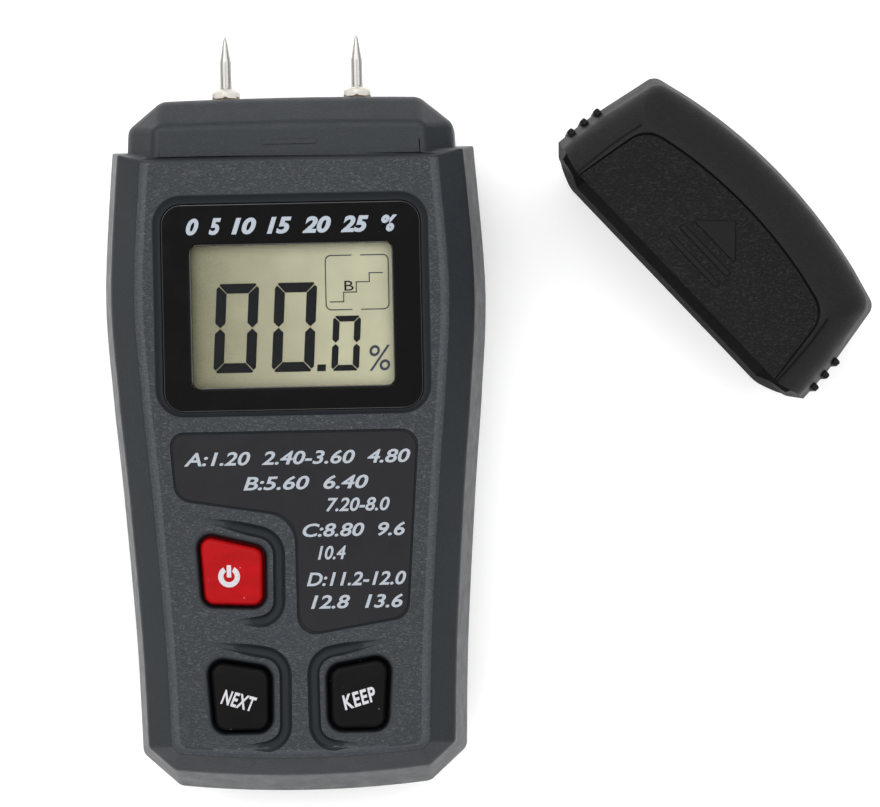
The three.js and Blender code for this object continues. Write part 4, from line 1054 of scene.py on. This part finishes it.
def case_finishes(settings):
    """Finishes of the case: smooth bevels, grained faces, a painted highlight along the edges of the faces, and
    painted shade in the wells and grooves.
    """
    names = ("case_smooth", "case_grained", "case_edge_painted_highlight", "case_well_painted_shade")
    if names[0] not in bpy.data.materials:
        # The last two shares are painted light: a painted highlight for the faces' brows and painted shade for
        # the wells, grooves and the lens's slope.
        smooth, grained, edge, well = (shade(settings.colour, share) for share in (0.68, 0.76, 1.05, 0.46))
        moulded(names[0], smooth, 0.42, mottle=0.05, grain=0.25, grain_size=0.25, fine=0.06, specular=0.25,
                painted_glints=0.35)
        moulded(names[1], grained, 0.5, mottle=0.05, grain=settings.grain, grain_size=0.3, fine=0.1,
                specular=0.3, painted_glints=1.6)
        moulded(names[2], edge, 0.36, mottle=0.05, grain=0.6, grain_size=0.3, fine=0.06, specular=0.4,
                painted_glints=0.7)
        moulded(names[3], well, 0.5, mottle=0.05, fine=0.06, specular=0.15)
    return [bpy.data.materials[name] for name in names]


CASE_SCREWS = [(x, SHOULDER_Y - drop) for drop in (9.5, 47) for x in (-20, 20)]
BOSS_SIDES = 28
BOARD_SCREWS = [(x, FOOT_Y + rise) for rise in (50, 12) for x in (-18.8, 18.8)]


def tube(skin, outer, inner, centre, low, high, floor):
    """A boss: a tube from low to high whose bore is closed at floor."""
    a, b, c, d = (
        skin.ring(circle(radius, centre, BOSS_SIDES), z)
        for radius, z in ((outer, low), (outer, high), (inner, low), (inner, floor)))
    skin.band(a, b)
    skin.band(d, c)
    skin.lid([a, c], up=False)
    skin.lid([b], up=True)
    skin.lid([d], up=False)


def lens_seat_rows():
    """Cutter rows for the lens's seat and the shallow slope round it."""
    def outline(margin):
        return lens_outline(margin, 0.15 * margin / SLOPE, -0.55 * margin / SLOPE)

    start = LENS_HIGH.z - 0.05
    rows = [(outline(0.2), LENS_LOW.z), (outline(0.2), start)]
    rows += [(outline(0.2 + 1.15 * t), start + 0.7 * t**1.3) for t in (0.1, 0.3, 0.5, 0.7, 0.85, 1)]
    return rows + [(outline(SLOPE), FACE - 0.005), (outline(SLOPE), FACE + 1)]


def well_rows(name):
    """Cutter rows for a key's well with its rounded rim."""
    rows = [(key_outline(name, WELL_GAP - 0.5), z) for z in (FACE - 4, FACE - 1.1)]
    for step in range(7):
        a = math.radians(90 * step / 6)
        outline = key_outline(name, WELL_GAP + 0.35 - 0.6 * math.cos(a))
        rows.append((outline, FACE - 0.55 * (1 - math.sin(a)) - 0.004))
    return rows + [(key_outline(name, WELL_GAP + 0.36), FACE + 1)]


def front_face_finishes(shell):
    """Paints shade into the wells, the grooves and the lens's slope, and paints a highlight along the face's
    edge.
    """
    for face in shell.data.polygons:
        x, y, z = face.center / MM
        if face.material_index or z < FACE - 4:
            continue
        keypad = abs(x) < 18 and FOOT_Y + 8.9 < y < LENS_LOW.y - 1.8
        recess = LENS_LOW.x - 2.2 < x < LENS_HIGH.x + 2.2 and LENS_LOW.y - 1.8 < y < LENS_HIGH.y + 2.2
        if (keypad and z < FACE - 0.4) or (recess and z < FACE - 0.08):
            # Index 3 paints shade into the wells, the grooves and the lens's slope.
            face.material_index = 3
        elif not (keypad or recess) and y < SHOULDER_Y - 3 and face.normal.z > 0.8 and z > FACE - 0.9:
            # Index 2 paints a highlight on the brow of the face.
            face.material_index = 2


class METER_OT_front_shell(bpy.types.Operator):
    """Front half of the case with its nose, wells, lens seat, label bed and grooves"""

    bl_idname = "meter.front_shell"
    bl_label = "Front shell"

    def execute(self, context):
        settings = context.scene.meter_case
        shell = half_shell("front_shell_skin", 1, ROOF - HALF, settings.brow / MM)
        carve(shell, solid("lens_seat", lens_seat_rows()))
        window = rounded_box(36.4, 26.6, (0, LCD_Y), 0.5, 3)
        carve(shell, slab("window", window, ROOF - 1, LENS_LOW.z + 0.5))
        carve(shell, solid("label_bed", rim_rows(label_outline, 0.3, 0.12, FACE - LABEL_LOW.z, FACE)))
        for name in KEYS:
            carve(shell, solid("well", well_rows(name)))
        for name in KEYS:
            carve(shell, crescent(name))
        settle(shell)
        finishes = case_finishes(settings)
        smooth = finishes[0]
        place(shell, "case", "front_shell", "case_plastic", *finishes)
        flat_finish(shell, FACE, 1)
        front_face_finishes(shell)

        line = rounded_box(9, 0.75, (0, SHOULDER_Y + 0.3), 0.35, 5)
        detent = print_polygons("detent_line", [line], lambda x, y: HALF + NOSE_HALF, 0.22)
        settle(detent)
        place(detent, "case", "front_shell", "case_plastic", smooth)

        skin = Skin()
        for at in CASE_SCREWS:
            tube(skin, 2.9, 1.4, at, HALF + 0.1, ROOF, HALF + 9)
        for at in BOARD_SCREWS:
            tube(skin, 1.5, 1.1, at, FACE - 6.1, ROOF, FACE - 2.8)
        bosses = settle(skin.make("front_bosses"))
        place(bosses, "case", "front_shell", "case_plastic", smooth)
        return {"FINISHED"}


class METER_OT_back_shell(bpy.types.Operator):
    """Back half of the case and its battery door"""

    bl_idname = "meter.back_shell"
    bl_label = "Back shell and door"

    def execute(self, context):
        settings = context.scene.meter_case
        smooth, grainy, _, _ = case_finishes(settings)
        brow = settings.brow / MM
        shell = half_shell("back_shell_skin", -1, HALF - FLOOR_WALL, brow)
        opening, groove, end = 13.9, 14.8, DOOR_TOP + 0.3

        def plate(half_width, top):
            below = FOOT_Y - 3
            return [(-half_width, below), (half_width, below), (half_width, top), (-half_width, top)]

        flared = [(plate(opening + 0.2, end + 0.2), z) for z in (-1, 0.02)]
        flared += [(plate(opening, end), z) for z in (0.25, 2.4)]
        carve(shell, solid("door_opening", flared))
        carve(shell, slab("door_grooves", plate(groove, end), 0.7, 2.4))
        for at in CASE_SCREWS:
            rows = [(2.95, -1), (2.95, 0.01), (2.72, 0.12), (2.6, 0.35), (2.6, 8)]
            carve(shell, solid("counterbore", [(circle(radius, at), z) for radius, z in rows]))
        settle(shell)
        place(shell, "case", "back_shell", "case_plastic", smooth, grainy)
        flat_finish(shell, 0, 1)

        skin = Skin()
        rows = ((3.3, FLOOR_WALL), (3.3, HALF - 0.1), (1.4, HALF - 0.1), (1.4, 8.2), (2.6, 8.2),
                (2.6, FLOOR_WALL))
        for at in CASE_SCREWS:
            rings = [skin.ring(circle(radius, at, BOSS_SIDES), z) for radius, z in rows]
            skin.bands(rings + rings[:1])
        bosses = settle(skin.make("back_bosses"))
        place(bosses, "case", "back_shell", "case_plastic", smooth)

        skin = Skin()
        bay_end = BATTERY_HIGH.y + 0.3 + 3 + 1.4

        def wall(x0, x1, low_y, low_z):
            outline = [(x0, low_y), (x1, low_y), (x1, bay_end + RIB), (x0, bay_end + RIB)]
            skin.stack([(outline, low_z), (outline, HALF - 0.1)])

        wall(-groove - RIB, -groove, BATTERY_LOW.y, FLOOR_WALL + 0.2)
        wall(groove, groove + RIB, BATTERY_LOW.y, FLOOR_WALL + 0.2)
        wall(-groove, -4, bay_end, FLOOR_WALL)
        wall(4, groove, bay_end, FLOOR_WALL)
        ribs = settle(skin.make("bay_ribs"))
        place(ribs, "case", "back_shell", "case_plastic", smooth)

        rows = [(13.4, DOOR_TOP - 0.2, -0.5), (13.4, DOOR_TOP - 0.2, 0), (13.6, DOOR_TOP, 0.22),
                (13.6, DOOR_TOP, 1.9)]
        door = solid("door_panel", [(plate(width, top), z) for width, top, z in rows])
        carve(door, slab("tongues", plate(14.5, DOOR_TOP), 1.0, 1.9), "UNION")
        carve(door, case_half("whole", -1, brow), "INTERSECT")
        grip_top = DOOR_TOP - 5

        def grip(margin):
            return rounded_box(16 + 2 * margin, 9 + 2 * margin, (0, grip_top - 4.5), 1.2 + margin)

        carve(door, solid("grip_recess", rim_rows(grip, 0, 0.3, 0.6, 0, side=-1)))
        arrow_y = grip_top - 15
        arrow = [(-3, arrow_y), (0, arrow_y - 3.6), (3, arrow_y)]
        carve(door, slab("arrow", rounded(arrow, [0.3] * 3, 4), -1, 0.3))
        settle(door)
        place(door, "door", "battery_door", "case_plastic", smooth, grainy)
        flat_finish(door, 0, 1)
        skin = Skin()
        for i in range(4):
            y = grip_top - 9 / 4 * (i + 0.5)
            rows = []
            for margin, z in ((-0.22, 0.06), (-0.08, 0.14), (0, 0.3), (0, 0.61)):
                rows.append((rounded_box(15.2 + 2 * margin, 0.95 + 2 * margin, (0, y), 0.45 + margin), z))
            skin.stack(rows)
        grips = settle(skin.make("door_grip_ribs"))
        place(grips, "door", "battery_door", "case_plastic", smooth)
        return {"FINISHED"}


class METER_OT_lens(bpy.types.Operator):
    """Glossy black lens, its clear pane and the scale printed along its top"""

    bl_idname = "meter.lens"
    bl_label = "Lens"

    def execute(self, context):
        settings = context.scene.meter_display
        low, high = LENS_LOW.z, LENS_HIGH.z
        skin = Skin()
        outer = [(-0.25, low), (0, low + 0.2), (0, high - 0.1), (-0.03, high - 0.03), (-0.1, high)]
        outer = [skin.ring(lens_outline(margin), z) for margin, z in outer]
        skin.bands(outer)
        inner = [
            (33.9, 24.3, 2.3, high), (33.6, 24.0, 2.1, high - 0.12), (33.2, 23.6, 1.5, high - 0.3),
            (32.9, 23.3, 1.1, high - 0.34), (32.7, 23.1, 1.0, low)]
        inner = [skin.ring(rounded_box(width, height, (0, LCD_Y), r, 8), z) for width, height, r, z in inner]
        for a, b in zip(inner, inner[1:]):
            skin.band(a[::-1], b[::-1])
        skin.lid([outer[-1], inner[0]], up=True)
        skin.lid([outer[0], inner[-1]], up=False)
        lens = settle(skin.make("lens_frame"))
        place(lens, "case", "lens_panel", "lens_acrylic", glass_black("lens_black", settings.panel))
        pane = settle(slab("lens_pane", rounded_box(32.66, 23.06, (0, LCD_Y), 0.98, 6), low + 0.1, low + 0.5))
        place(pane, "case", "lens_panel", "lens_acrylic", pane_clear("lens_clear"))
        words = ink("scale_ink", settings.words)
        marks = [
            ("0", -16.0, 2.1), ("5", -12.3, 2.1), ("10", -7.6, 4.1), ("15", -1.8, 4.1), ("20", 4.3, 4.7),
            ("25", 10.5, 4.6), ("%", 15.9, 3.1)]
        for i, (text, x, width) in enumerate(marks):
            mark = lettering(
                f"scale_mark_{i + 1}", text, (x, 36.0), width, 2.75, lambda x, y: high, slant=0.28,
                weight=0.045)
            place(mark, "case", "lens_panel", "lens_acrylic", words)
        return {"FINISHED"}


class METER_OT_display(bpy.types.Operator):
    """Display glass with its lit segments"""

    bl_idname = "meter.display"
    bl_label = "Display"

    def execute(self, context):
        settings = context.scene.meter_display
        low, high = LCD_LOW, LCD_HIGH
        width, height = high.x - low.x, high.y - low.y
        rows = []
        for margin, z in ((-0.12, low.z), (0, low.z + 0.12), (0, high.z - 0.12), (-0.12, high.z)):
            rows.append((rounded_box(width + 2 * margin, height + 2 * margin, (0, LCD_Y), 0.3, 3), z))
        cell = settle(solid("display_cell", rows))
        place(cell, "case", "lcd_cell", "lcd_glass",
              display_face("display_olive_painted_sheen", settings.light, settings.dark))
        y = LCD_Y

        def flat(px, py):
            return high.z + 0.03

        dark = ink("segment_dark", settings.segment, 0.45, 0.1)
        faint = ink("segment_fine", shade(settings.segment, 9), 0.4)
        base = y - 9.2
        digits = zero_digit(-13.2, base, 6.95, 14.6, 1.72, 1.6)
        digits += zero_digit(-3.65, base, 6.9, 14.6, 1.72, 1.6)
        digits += zero_digit(6.1, base, 4.55, 9.0, 1.12, 0.95)
        digits.append([(3.8, base), (5.2, base), (5.27, base + 1.1), (3.87, base + 1.1)])
        number = settle(print_polygons("display_digits", digits, flat), weighted=False)
        place(number, "case", "lcd_cell", "lcd_glass", dark)
        window = rounded([(5.5, y + 0.8), (15.8, y + 0.8), (15.8, y + 9.7), (5.5, y + 9.7)], [0.9] * 4, 5)
        lines = []
        for a, b in zip(window, window[1:] + window[:1]):
            left, right = sorted((a[0], b[0]))
            if right - left > 3:
                lines += stroke([(left, a[1]), (9.7, a[1])], LINE) + stroke([(11.3, a[1]), (right, a[1])],
                                                                            LINE)
            else:
                lines += stroke([a, b], LINE)
        stairs = [
            (6.2, 2.1), (8.4, 2.1), (8.4, 3.65), (10.5, 3.65), (10.5, 5.3), (12.65, 5.3), (12.65, 6.75),
            (14.8, 6.75)]
        lines += stroke([(px, y + py) for px, py in stairs], LINE)
        steps = settle(print_polygons("display_steps", lines, flat, 0.02), weighted=False)
        place(steps, "case", "lcd_cell", "lcd_glass", faint)
        percent = lettering("display_percent", "%", (14.1, y - 7.2), 3.4, 4.2, flat, slant=0.1)
        place(percent, "case", "lcd_cell", "lcd_glass", faint)
        letter = lettering("display_group", "B", (9.3, y + 4.7), 1.5, 1.6, flat)
        place(letter, "case", "lcd_cell", "lcd_glass", dark)
        return {"FINISHED"}


class METER_OT_label(bpy.types.Operator):
    """Label film with its printed table"""

    bl_idname = "meter.label"
    bl_label = "Label"

    def execute(self, context):
        settings = context.scene.meter_label
        low, high = LABEL_LOW.z, LABEL_HIGH.z
        rows = [(label_outline(0), low), (label_outline(0), high - 0.08), (label_outline(-0.08), high)]
        film = settle(solid("label_film", rows))
        film_finish = moulded("label_black", settings.colour, 0.6, 0.06, fine=0.1, specular=0.18)
        place(film, "case", "label_plate", "label_film", film_finish)
        words = ink("label_ink", settings.words)
        lines = [
            ("A:1.20  2.40-3.60  4.80", 0.35, -1.9, 36.9), ("B:5.60  6.40", 1.7, -6.0, 20.4),
            ("7.20-8.0", 10.1, -9.7, 10.4), ("C:8.80  9.6", 9.35, -13.8, 16.7), ("10.4", 5.7, -17.5, 4.6),
            ("D:11.2-12.0", 9.6, -21.8, 16.2), ("12.8  13.6", 9.6, -25.5, 15.0)]
        for i, (text, x, y, width) in enumerate(lines):
            row = lettering(
                f"label_row_{i + 1}", text, (x, y), width, 2.25, lambda px, py: high, slant=0.26, weight=0.02)
            place(row, "case", "label_plate", "label_film", words)
        return {"FINISHED"}


class METER_OT_keys(bpy.types.Operator):
    """The three rubber keys with their marks"""

    bl_idname = "meter.keys"
    bl_label = "Keys"

    def execute(self, context):
        settings = context.scene.meter_keys
        red = rubber("power_rubber", settings.power_colour, (0.6, 0.3, 0.3), 0.42)
        black = rubber("key_rubber", settings.key_colour, (0.12, 0.12, 0.11), 0.45)
        marks = ink("key_ink", settings.mark_colour)
        for name in KEYS:
            slot, finish = ("red_rubber", red) if name == "power" else ("black_rubber", black)
            place(settle(key_solid(name), 40), name + "_key", name + "_button", slot, finish)

        def top_of(name):
            return lambda x, y: key_top(name, x, y)

        x, y = -11.05, -21.0
        turns = [math.radians(121 + 298 * i / 45) for i in range(46)]
        ring = []
        for a, b in zip(turns, turns[1:]):
            corners = ((1.77, a), (1.77, b), (0.92, b), (0.92, a))
            ring.append([(x + r * math.cos(t), y + r * math.sin(t)) for r, t in corners])
        bar = rounded_box(0.72, 2.0, (x, y + 0.85), 0.12, 3)
        symbol = settle(print_polygons("power_mark", ring + [bar], top_of("power")), weighted=False)
        place(symbol, "power_key", "power_button", "red_rubber", marks)
        tilt = math.radians(16)
        words = (("mode", "NEXT", (-9.9, -41.2), 5.6, 0.2, -tilt),
                 ("hold", "KEEP", (9.7, -41.2), 5.5, 0.1, tilt))
        for key, text, centre, width, slant, turn in words:
            mark = lettering(
                key + "_mark", text, centre, width, 2.45, top_of(key), slant, 0.028, turn, spacing=1.12)
            place(mark, key + "_key", key + "_button", "black_rubber", marks)
        return {"FINISHED"}


def hex_nut(name, x, low, high):
    """Hex nut with a corner up: a hexagon held within a chamfered envelope, with its bore."""
    corner = NUT_FLAT / math.cos(math.pi / 6)
    envelope = [
        (NUT_FLAT - 0.1, low), (NUT_FLAT + 0.12, low + 0.06), (corner, low + 0.24), (corner, low + 0.82),
        (corner - 0.16, low + 1.02), (NUT_FLAT * 0.93, low + 1.3), (NUT_FLAT * 0.8, low + 1.5), (1.55, high)]
    turns = [2 * math.pi * i / NUT_SIDES for i in range(NUT_SIDES)]
    skin = Skin()
    rings = []
    for reach, y in envelope:
        radii = [min(NUT_FLAT / math.cos(a % (math.pi / 3) - math.pi / 6), reach) for a in turns]
        rings.append(skin.loop([(x + r * math.sin(a), y, HALF + r * math.cos(a)) for r,
                                a in zip(radii, turns)]))
    for y in (high, low):
        rings.append(skin.loop([(x + BORE * math.sin(a), y, HALF + BORE * math.cos(a)) for a in turns]))
    skin.bands(rings + rings[:1])
    return skin.make(name)


class METER_OT_probes(bpy.types.Operator):
    """Two steel pins with their hex nuts"""

    bl_idname = "meter.probes"
    bl_label = "Pins and nuts"

    def execute(self, context):
        settings = context.scene.meter_probes
        steel = metal("pin_steel", settings.pin, 0.34, (1, 9, 1), 0.2, 1400)
        plate = metal("nut_nickel", settings.nut, 0.5, (1, 3, 1), 0.12, 1100)
        for hand in ("left", "right"):
            low, high = frame_mm("probe_pin_" + hand)
            x, tip = (low.x + high.x) / 2, high.y
            nut_low, nut_high = frame_mm("probe_nut_" + hand)
            shoulder = nut_high.y
            profile = [
                (STUD - 0.15, low.y), (STUD, low.y + 0.15), (STUD, shoulder - 0.05),
                (SHAFT + 0.05, shoulder + 0.28),
                (SHAFT, shoulder + 0.36), (SHAFT, tip - 4.3), (SHAFT - 0.03, tip - 4.0),
                (SHAFT - 0.14, tip - 3.5),
                (0.42, tip - 1.1), (0.25, tip - 0.25), (0.17, tip - 0.08), (0.06, tip)]
            pin = settle(turned("pin_" + hand, profile, (x, 0, HALF)), 40)
            place(pin, "case", "probe_pin_" + hand, "pin_steel", steel)
            nut = settle(hex_nut("nut_" + hand, x, nut_low.y, nut_high.y), 25)
            place(nut, "case", "probe_nut_" + hand, "nut_steel", plate)
        return {"FINISHED"}


class METER_OT_battery(bpy.types.Operator):
    """Block battery with its sleeve and terminals, and the case screws"""

    bl_idname = "meter.battery"
    bl_label = "Battery and screws"

    def execute(self, context):
        low, high = BATTERY_LOW, BATTERY_HIGH
        end, middle = high.y - 2.1, (low.z + high.z) / 2
        margins = [
            (-0.7, low.y), (-0.2, low.y + 0.25), (0, low.y + 0.8), (0, end - 0.8), (-0.2, end - 0.25),
            (-0.7, end)]
        skin = Skin()
        rings = []
        for margin, y in margins:
            width, height = high.x - low.x + 2 * margin, high.z - low.z + 2 * margin
            outline = rounded_box(width, height, (0, middle), 2.2 + margin)
            rings.append(skin.loop([(x, y, z) for x, z in outline]))
        skin.bands(rings)
        skin.plug(rings)
        can = settle(skin.make("battery_can"))
        sleeve = sleeve_finish("battery_print", (0.012, 0.014, 0.018), (0.42, 0.22, 0.05))
        place(can, "case", "battery", "battery_steel", sleeve)
        bright = metal("terminal_steel", (0.6, 0.58, 0.55), 0.25)
        for side, name, radius in ((-1, "battery_terminal_socket", 3.1), (1, "battery_terminal_stud", 2.4)):
            profile = [
                (radius, end - 0.2), (radius, end + 0.3), (radius - 0.25, end + 0.6),
                (radius - 0.25, high.y - 0.3),
                (radius - 0.5, high.y), (radius - 1.2, high.y), (radius - 1.3, high.y - 1.2)]
            made = settle(turned(name, profile, (side * 6.35, 0, middle)))
            place(made, "case", "battery", "battery_steel", bright)
        zinc = metal("screw_zinc", (0.35, 0.35, 0.36), 0.3)
        for i, at in enumerate(CASE_SCREWS):
            name = f"case_screw_{i + 1}"
            head, tip = (corner.z for corner in frame_mm(name))
            profile = [
                (1.9, head), (2.25, head + 0.3), (2.3, head + 0.7), (2.3, head + 1.8), (1.1, head + 1.8),
                (1.1, tip - 0.8), (0.5, tip)]
            screw = turned(f"case_screw_body_{i + 1}", profile, (*at, 0), "Z", 32)
            for width, height in ((0.6, 2.4), (2.4, 0.6)):
                carve(screw, slab("cross", rounded_box(width, height, at, 0.12, 2), head - 1, head + 0.9))
            settle(screw)
            place(screw, "case", name, "screw_steel", zinc)
        return {"FINISHED"}


class METER_OT_insides(bpy.types.Operator):
    """Finishes for the inner parts that keep their frame shape"""

    bl_idname = "meter.insides"
    bl_label = "Inner parts"

    def execute(self, context):
        black = moulded("inner_black", (0.012, 0.012, 0.013), 0.45, 0.1)
        finishes = {
            "lcd_holder": black,
            "battery_connector": moulded("connector_black", (0.01, 0.01, 0.011), 0.6, 0.15),
            "circuit_board": board_finish("board_green"),
            "controller_chip": moulded("chip_epoxy", (0.014, 0.014, 0.015), 0.55, mottle=0.1, fine=0.3),
            "amplifier_chip": moulded("chip_epoxy_small", (0.016, 0.016, 0.017), 0.5, mottle=0.1, fine=0.3),
            "capacitor": metal("capacitor_can", (0.5, 0.5, 0.52), 0.3),
            "battery_lead_red": moulded("lead_red", (0.45, 0.01, 0.012), 0.4, 0.08),
            "battery_lead_black": moulded("lead_black", (0.012, 0.012, 0.012), 0.4, 0.08),
        }
        strip = moulded("contact_pink", (0.5, 0.25, 0.23), 0.7, 0.12)
        finishes["zebra_strip_upper"] = strip
        finishes["zebra_strip_lower"] = strip
        switch = metal("switch_plate", (0.55, 0.55, 0.56), 0.32)
        for key in KEYS:
            finishes[key + "_switch"] = switch
            finishes[key + "_plunger"] = black
        brass = metal("socket_brass", (0.62, 0.42, 0.16), 0.28, (1, 6, 1))
        for hand in ("left", "right"):
            finishes["probe_socket_" + hand] = brass
            finishes["probe_lead_" + hand] = finishes["battery_lead_black"]
        small = metal("small_screw", (0.4, 0.4, 0.41), 0.3)
        for i in range(4):
            finishes[f"board_screw_{i + 1}"] = small
        for name, finish in finishes.items():
            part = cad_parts[name]
            if not part.material_slots:
                part.data.materials.append(finish)
            for held in part.material_slots:
                held.material = finish
        return {"FINISHED"}


class METER_OT_cap(bpy.types.Operator):
    """Pin cap with its grained panel, arrow mark and grip ribs"""

    bl_idname = "meter.cap"
    bl_label = "Pin cap"

    def execute(self, context):
        settings = context.scene.meter_cap
        colour = settings.colour
        cap = cap_solid()
        carve(cap, solid("cap_hollow", cap_hollow_rows()))
        level = FACE - PANEL_DEPTH
        margins = ((0, level), (0.05, level + 0.1), (0.3, FACE - 0.1), (0.5, FACE - 0.005), (0.5, FACE + 1))
        carve(cap, solid("cap_panel_cut", [(panel_outline(margin), z) for margin, z in margins]))
        settle(cap, 38)
        cap_place(cap)
        smooth = moulded(
            "cap_smooth", shade(colour, 1.7), 0.5, mottle=0.06, grain=0.3, grain_size=0.3, fine=0.08,
            specular=0.1,
            painted_glints=0.4)
        # well is painted shade: a darker copy of the cap colour for the sunk panel's walls, where shade falls.
        well = moulded("cap_wall_painted_shade", shade(colour, 0.45), 0.5, mottle=0.06, fine=0.08, specular=0.1)
        grainy = moulded(
            "cap_grained", shade(colour, 0.72), 0.5, mottle=0.08, grain=settings.grain, grain_size=0.28,
            fine=0.2,
            specular=0.1, painted_glints=3.0)
        dull = moulded("cap_mark", shade(colour, 0.6), 0.45, mottle=0.06, specular=0.15)
        place(cap, "cap", "pin_cap", "cap_plastic", smooth, grainy, well)
        flat_finish(cap, level, 1, 0.04)
        # The panel's sloped walls take the painted shade.
        for face in cap.data.polygons:
            wall = level + 0.01 < face.center.z / MM < FACE - 0.08 and face.normal.z < 0.9
            if face.material_index == 0 and wall:
                face.material_index = 2

        skin = Skin()
        arrow = [rounded([(-5, 8.5), (5, 8.5), (0, 13.5)], [0.25] * 3, 3)]
        arrow += [rounded_box(11.2, 1.0, (0, y), 0.3, 3) for y in (6.5, 4.0)]
        for outline in arrow:
            skin.stack([(outline, level - 0.1), (outline, level + 0.1), (grown(outline, -0.12), level + 0.2)])
        emblem = settle(skin.make("cap_arrow_mark"))
        cap_place(emblem)
        place(emblem, "cap", "pin_cap", "cap_plastic", dull)

        skin = Skin()
        for side in (-1, 1):
            for i in range(3):
                y = 5 + 2.7 * i
                rings = []
                for out, shrink in ((-0.7, 0.1), (-0.15, 0.1), (0.1, 0.2), (0.25, 0.36), (0.33, 0.6)):
                    outline = rounded_box(1.3 - shrink, 9 - shrink, (y, HALF), 0.62 - shrink / 2, 5)
                    rings.append(skin.loop([(side * (cap_edge(y) + out), a, b) for a, b in outline]))
                skin.bands(rings)
                skin.plug(rings)
        ribs = settle(skin.make("cap_ribs"))
        cap_place(ribs)
        place(ribs, "cap", "pin_cap", "cap_plastic", smooth)
        return {"FINISHED"}


# Brightness of the room from the floor, 0, to straight above, 1.
ROOM_LIGHT = ((0.0, 0.06), (0.45, 0.12), (0.68, 1.1), (0.955, 1.1), (0.985, 0.06))


class METER_OT_stage(bpy.types.Operator):
    """Pale floor, soft room light, one large lamp and the camera"""

    bl_idname = "meter.stage"
    bl_label = "Stage"

    def execute(self, context):
        settings = context.scene.meter_stage
        skin = Skin()
        skin.lid([skin.ring([(-900, -900), (900, -900), (900, 900), (-900, 900)], -0.15)])
        floor = skin.make("floor")
        material, tree, shader = finish_tree("floor_paper")
        paper = noise(tree, 900, 4)
        tone = ramp(tree, paper, [(0.3, (0.93, 0.93, 0.93)), (0.7, (0.95, 0.95, 0.95))])
        link(tree, tone, shader.inputs["Base Color"])
        shader.inputs["Roughness"].default_value = 0.8
        shader.inputs["Specular IOR Level"].default_value = 0.2
        shader.inputs["Emission Color"].default_value = (1, 1, 1, 1)
        shader.inputs["Emission Strength"].default_value = 0.16
        floor.data.materials.append(material)

        world = bpy.data.worlds.new("room")
        world.use_nodes = True
        context.scene.world = world
        tree = world.node_tree
        ground = tree.nodes["Background"]
        where = axes(tree, node(tree, "ShaderNodeTexCoord").outputs["Generated"])
        glow = ramp(tree, where["Z"], [(at, (level,) * 3) for at, level in ROOM_LIGHT])
        link(tree, glow, ground.inputs["Color"])
        slope = node(tree, "ShaderNodeMath", operation="MULTIPLY_ADD")
        link(tree, where["Y"], slope.inputs[0])
        slope.inputs[1].default_value = 0.35 * settings.sky
        slope.inputs[2].default_value = settings.sky
        link(tree, slope.outputs["Value"], ground.inputs["Strength"])

        lamp_data = bpy.data.lights.new("large_lamp", "AREA")
        lamp_data.energy = settings.lamp
        lamp_data.shape = "RECTANGLE"
        lamp_data.size = 0.6
        lamp_data.size_y = 0.4
        lamp = bpy.data.objects.new("large_lamp", lamp_data)
        lamp.location = (-0.35, 0.45, 0.55)
        lamp.rotation_mode = "QUATERNION"
        lamp.rotation_quaternion = lamp.location.to_track_quat("Z", "Y")
        context.scene.collection.objects.link(lamp)

        camera_data = bpy.data.cameras.new("camera")
        camera_data.lens = settings.lens
        camera_data.sensor_width = 36
        camera_data.clip_start = 0.01
        camera = bpy.data.objects.new("camera", camera_data)
        camera.location = (0.0238, 0.0064, settings.distance)
        camera.rotation_euler = (0, 0, math.radians(-1.2))
        context.scene.collection.objects.link(camera)
        context.scene.camera = camera
        context.scene.view_settings.view_transform = "Standard"
        return {"FINISHED"}


OPERATORS = [
    METER_OT_stage, METER_OT_front_shell, METER_OT_back_shell, METER_OT_lens, METER_OT_display,
    METER_OT_label,
    METER_OT_keys, METER_OT_probes, METER_OT_battery, METER_OT_insides, METER_OT_cap]


class METER_PT_pieces(bpy.types.Panel):
    """Lists the meter's pieces"""

    bl_idname = "METER_PT_pieces"
    bl_label = "Moisture meter"
    bl_space_type = "VIEW_3D"
    bl_region_type = "UI"
    bl_category = "Meter"

    def draw(self, context):
        for operator in OPERATORS:
            self.layout.operator(operator.bl_idname)


CLASSES = [*SETTINGS.values(), *OPERATORS, METER_PT_pieces]


def register():
    for made in CLASSES:
        bpy.utils.register_class(made)
    for name, group in SETTINGS.items():
        setattr(bpy.types.Scene, name, bpy.props.PointerProperty(type=group))


def unregister():
    for name in SETTINGS:
        delattr(bpy.types.Scene, name)
    for made in reversed(CLASSES):
        bpy.utils.unregister_class(made)


def main():
    register()
    for operator in OPERATORS:
        group, name = operator.bl_idname.split(".")
        getattr(getattr(bpy.ops, group), name)()
    bpy.context.view_layer.update()


if __name__ == "__main__":
    main()
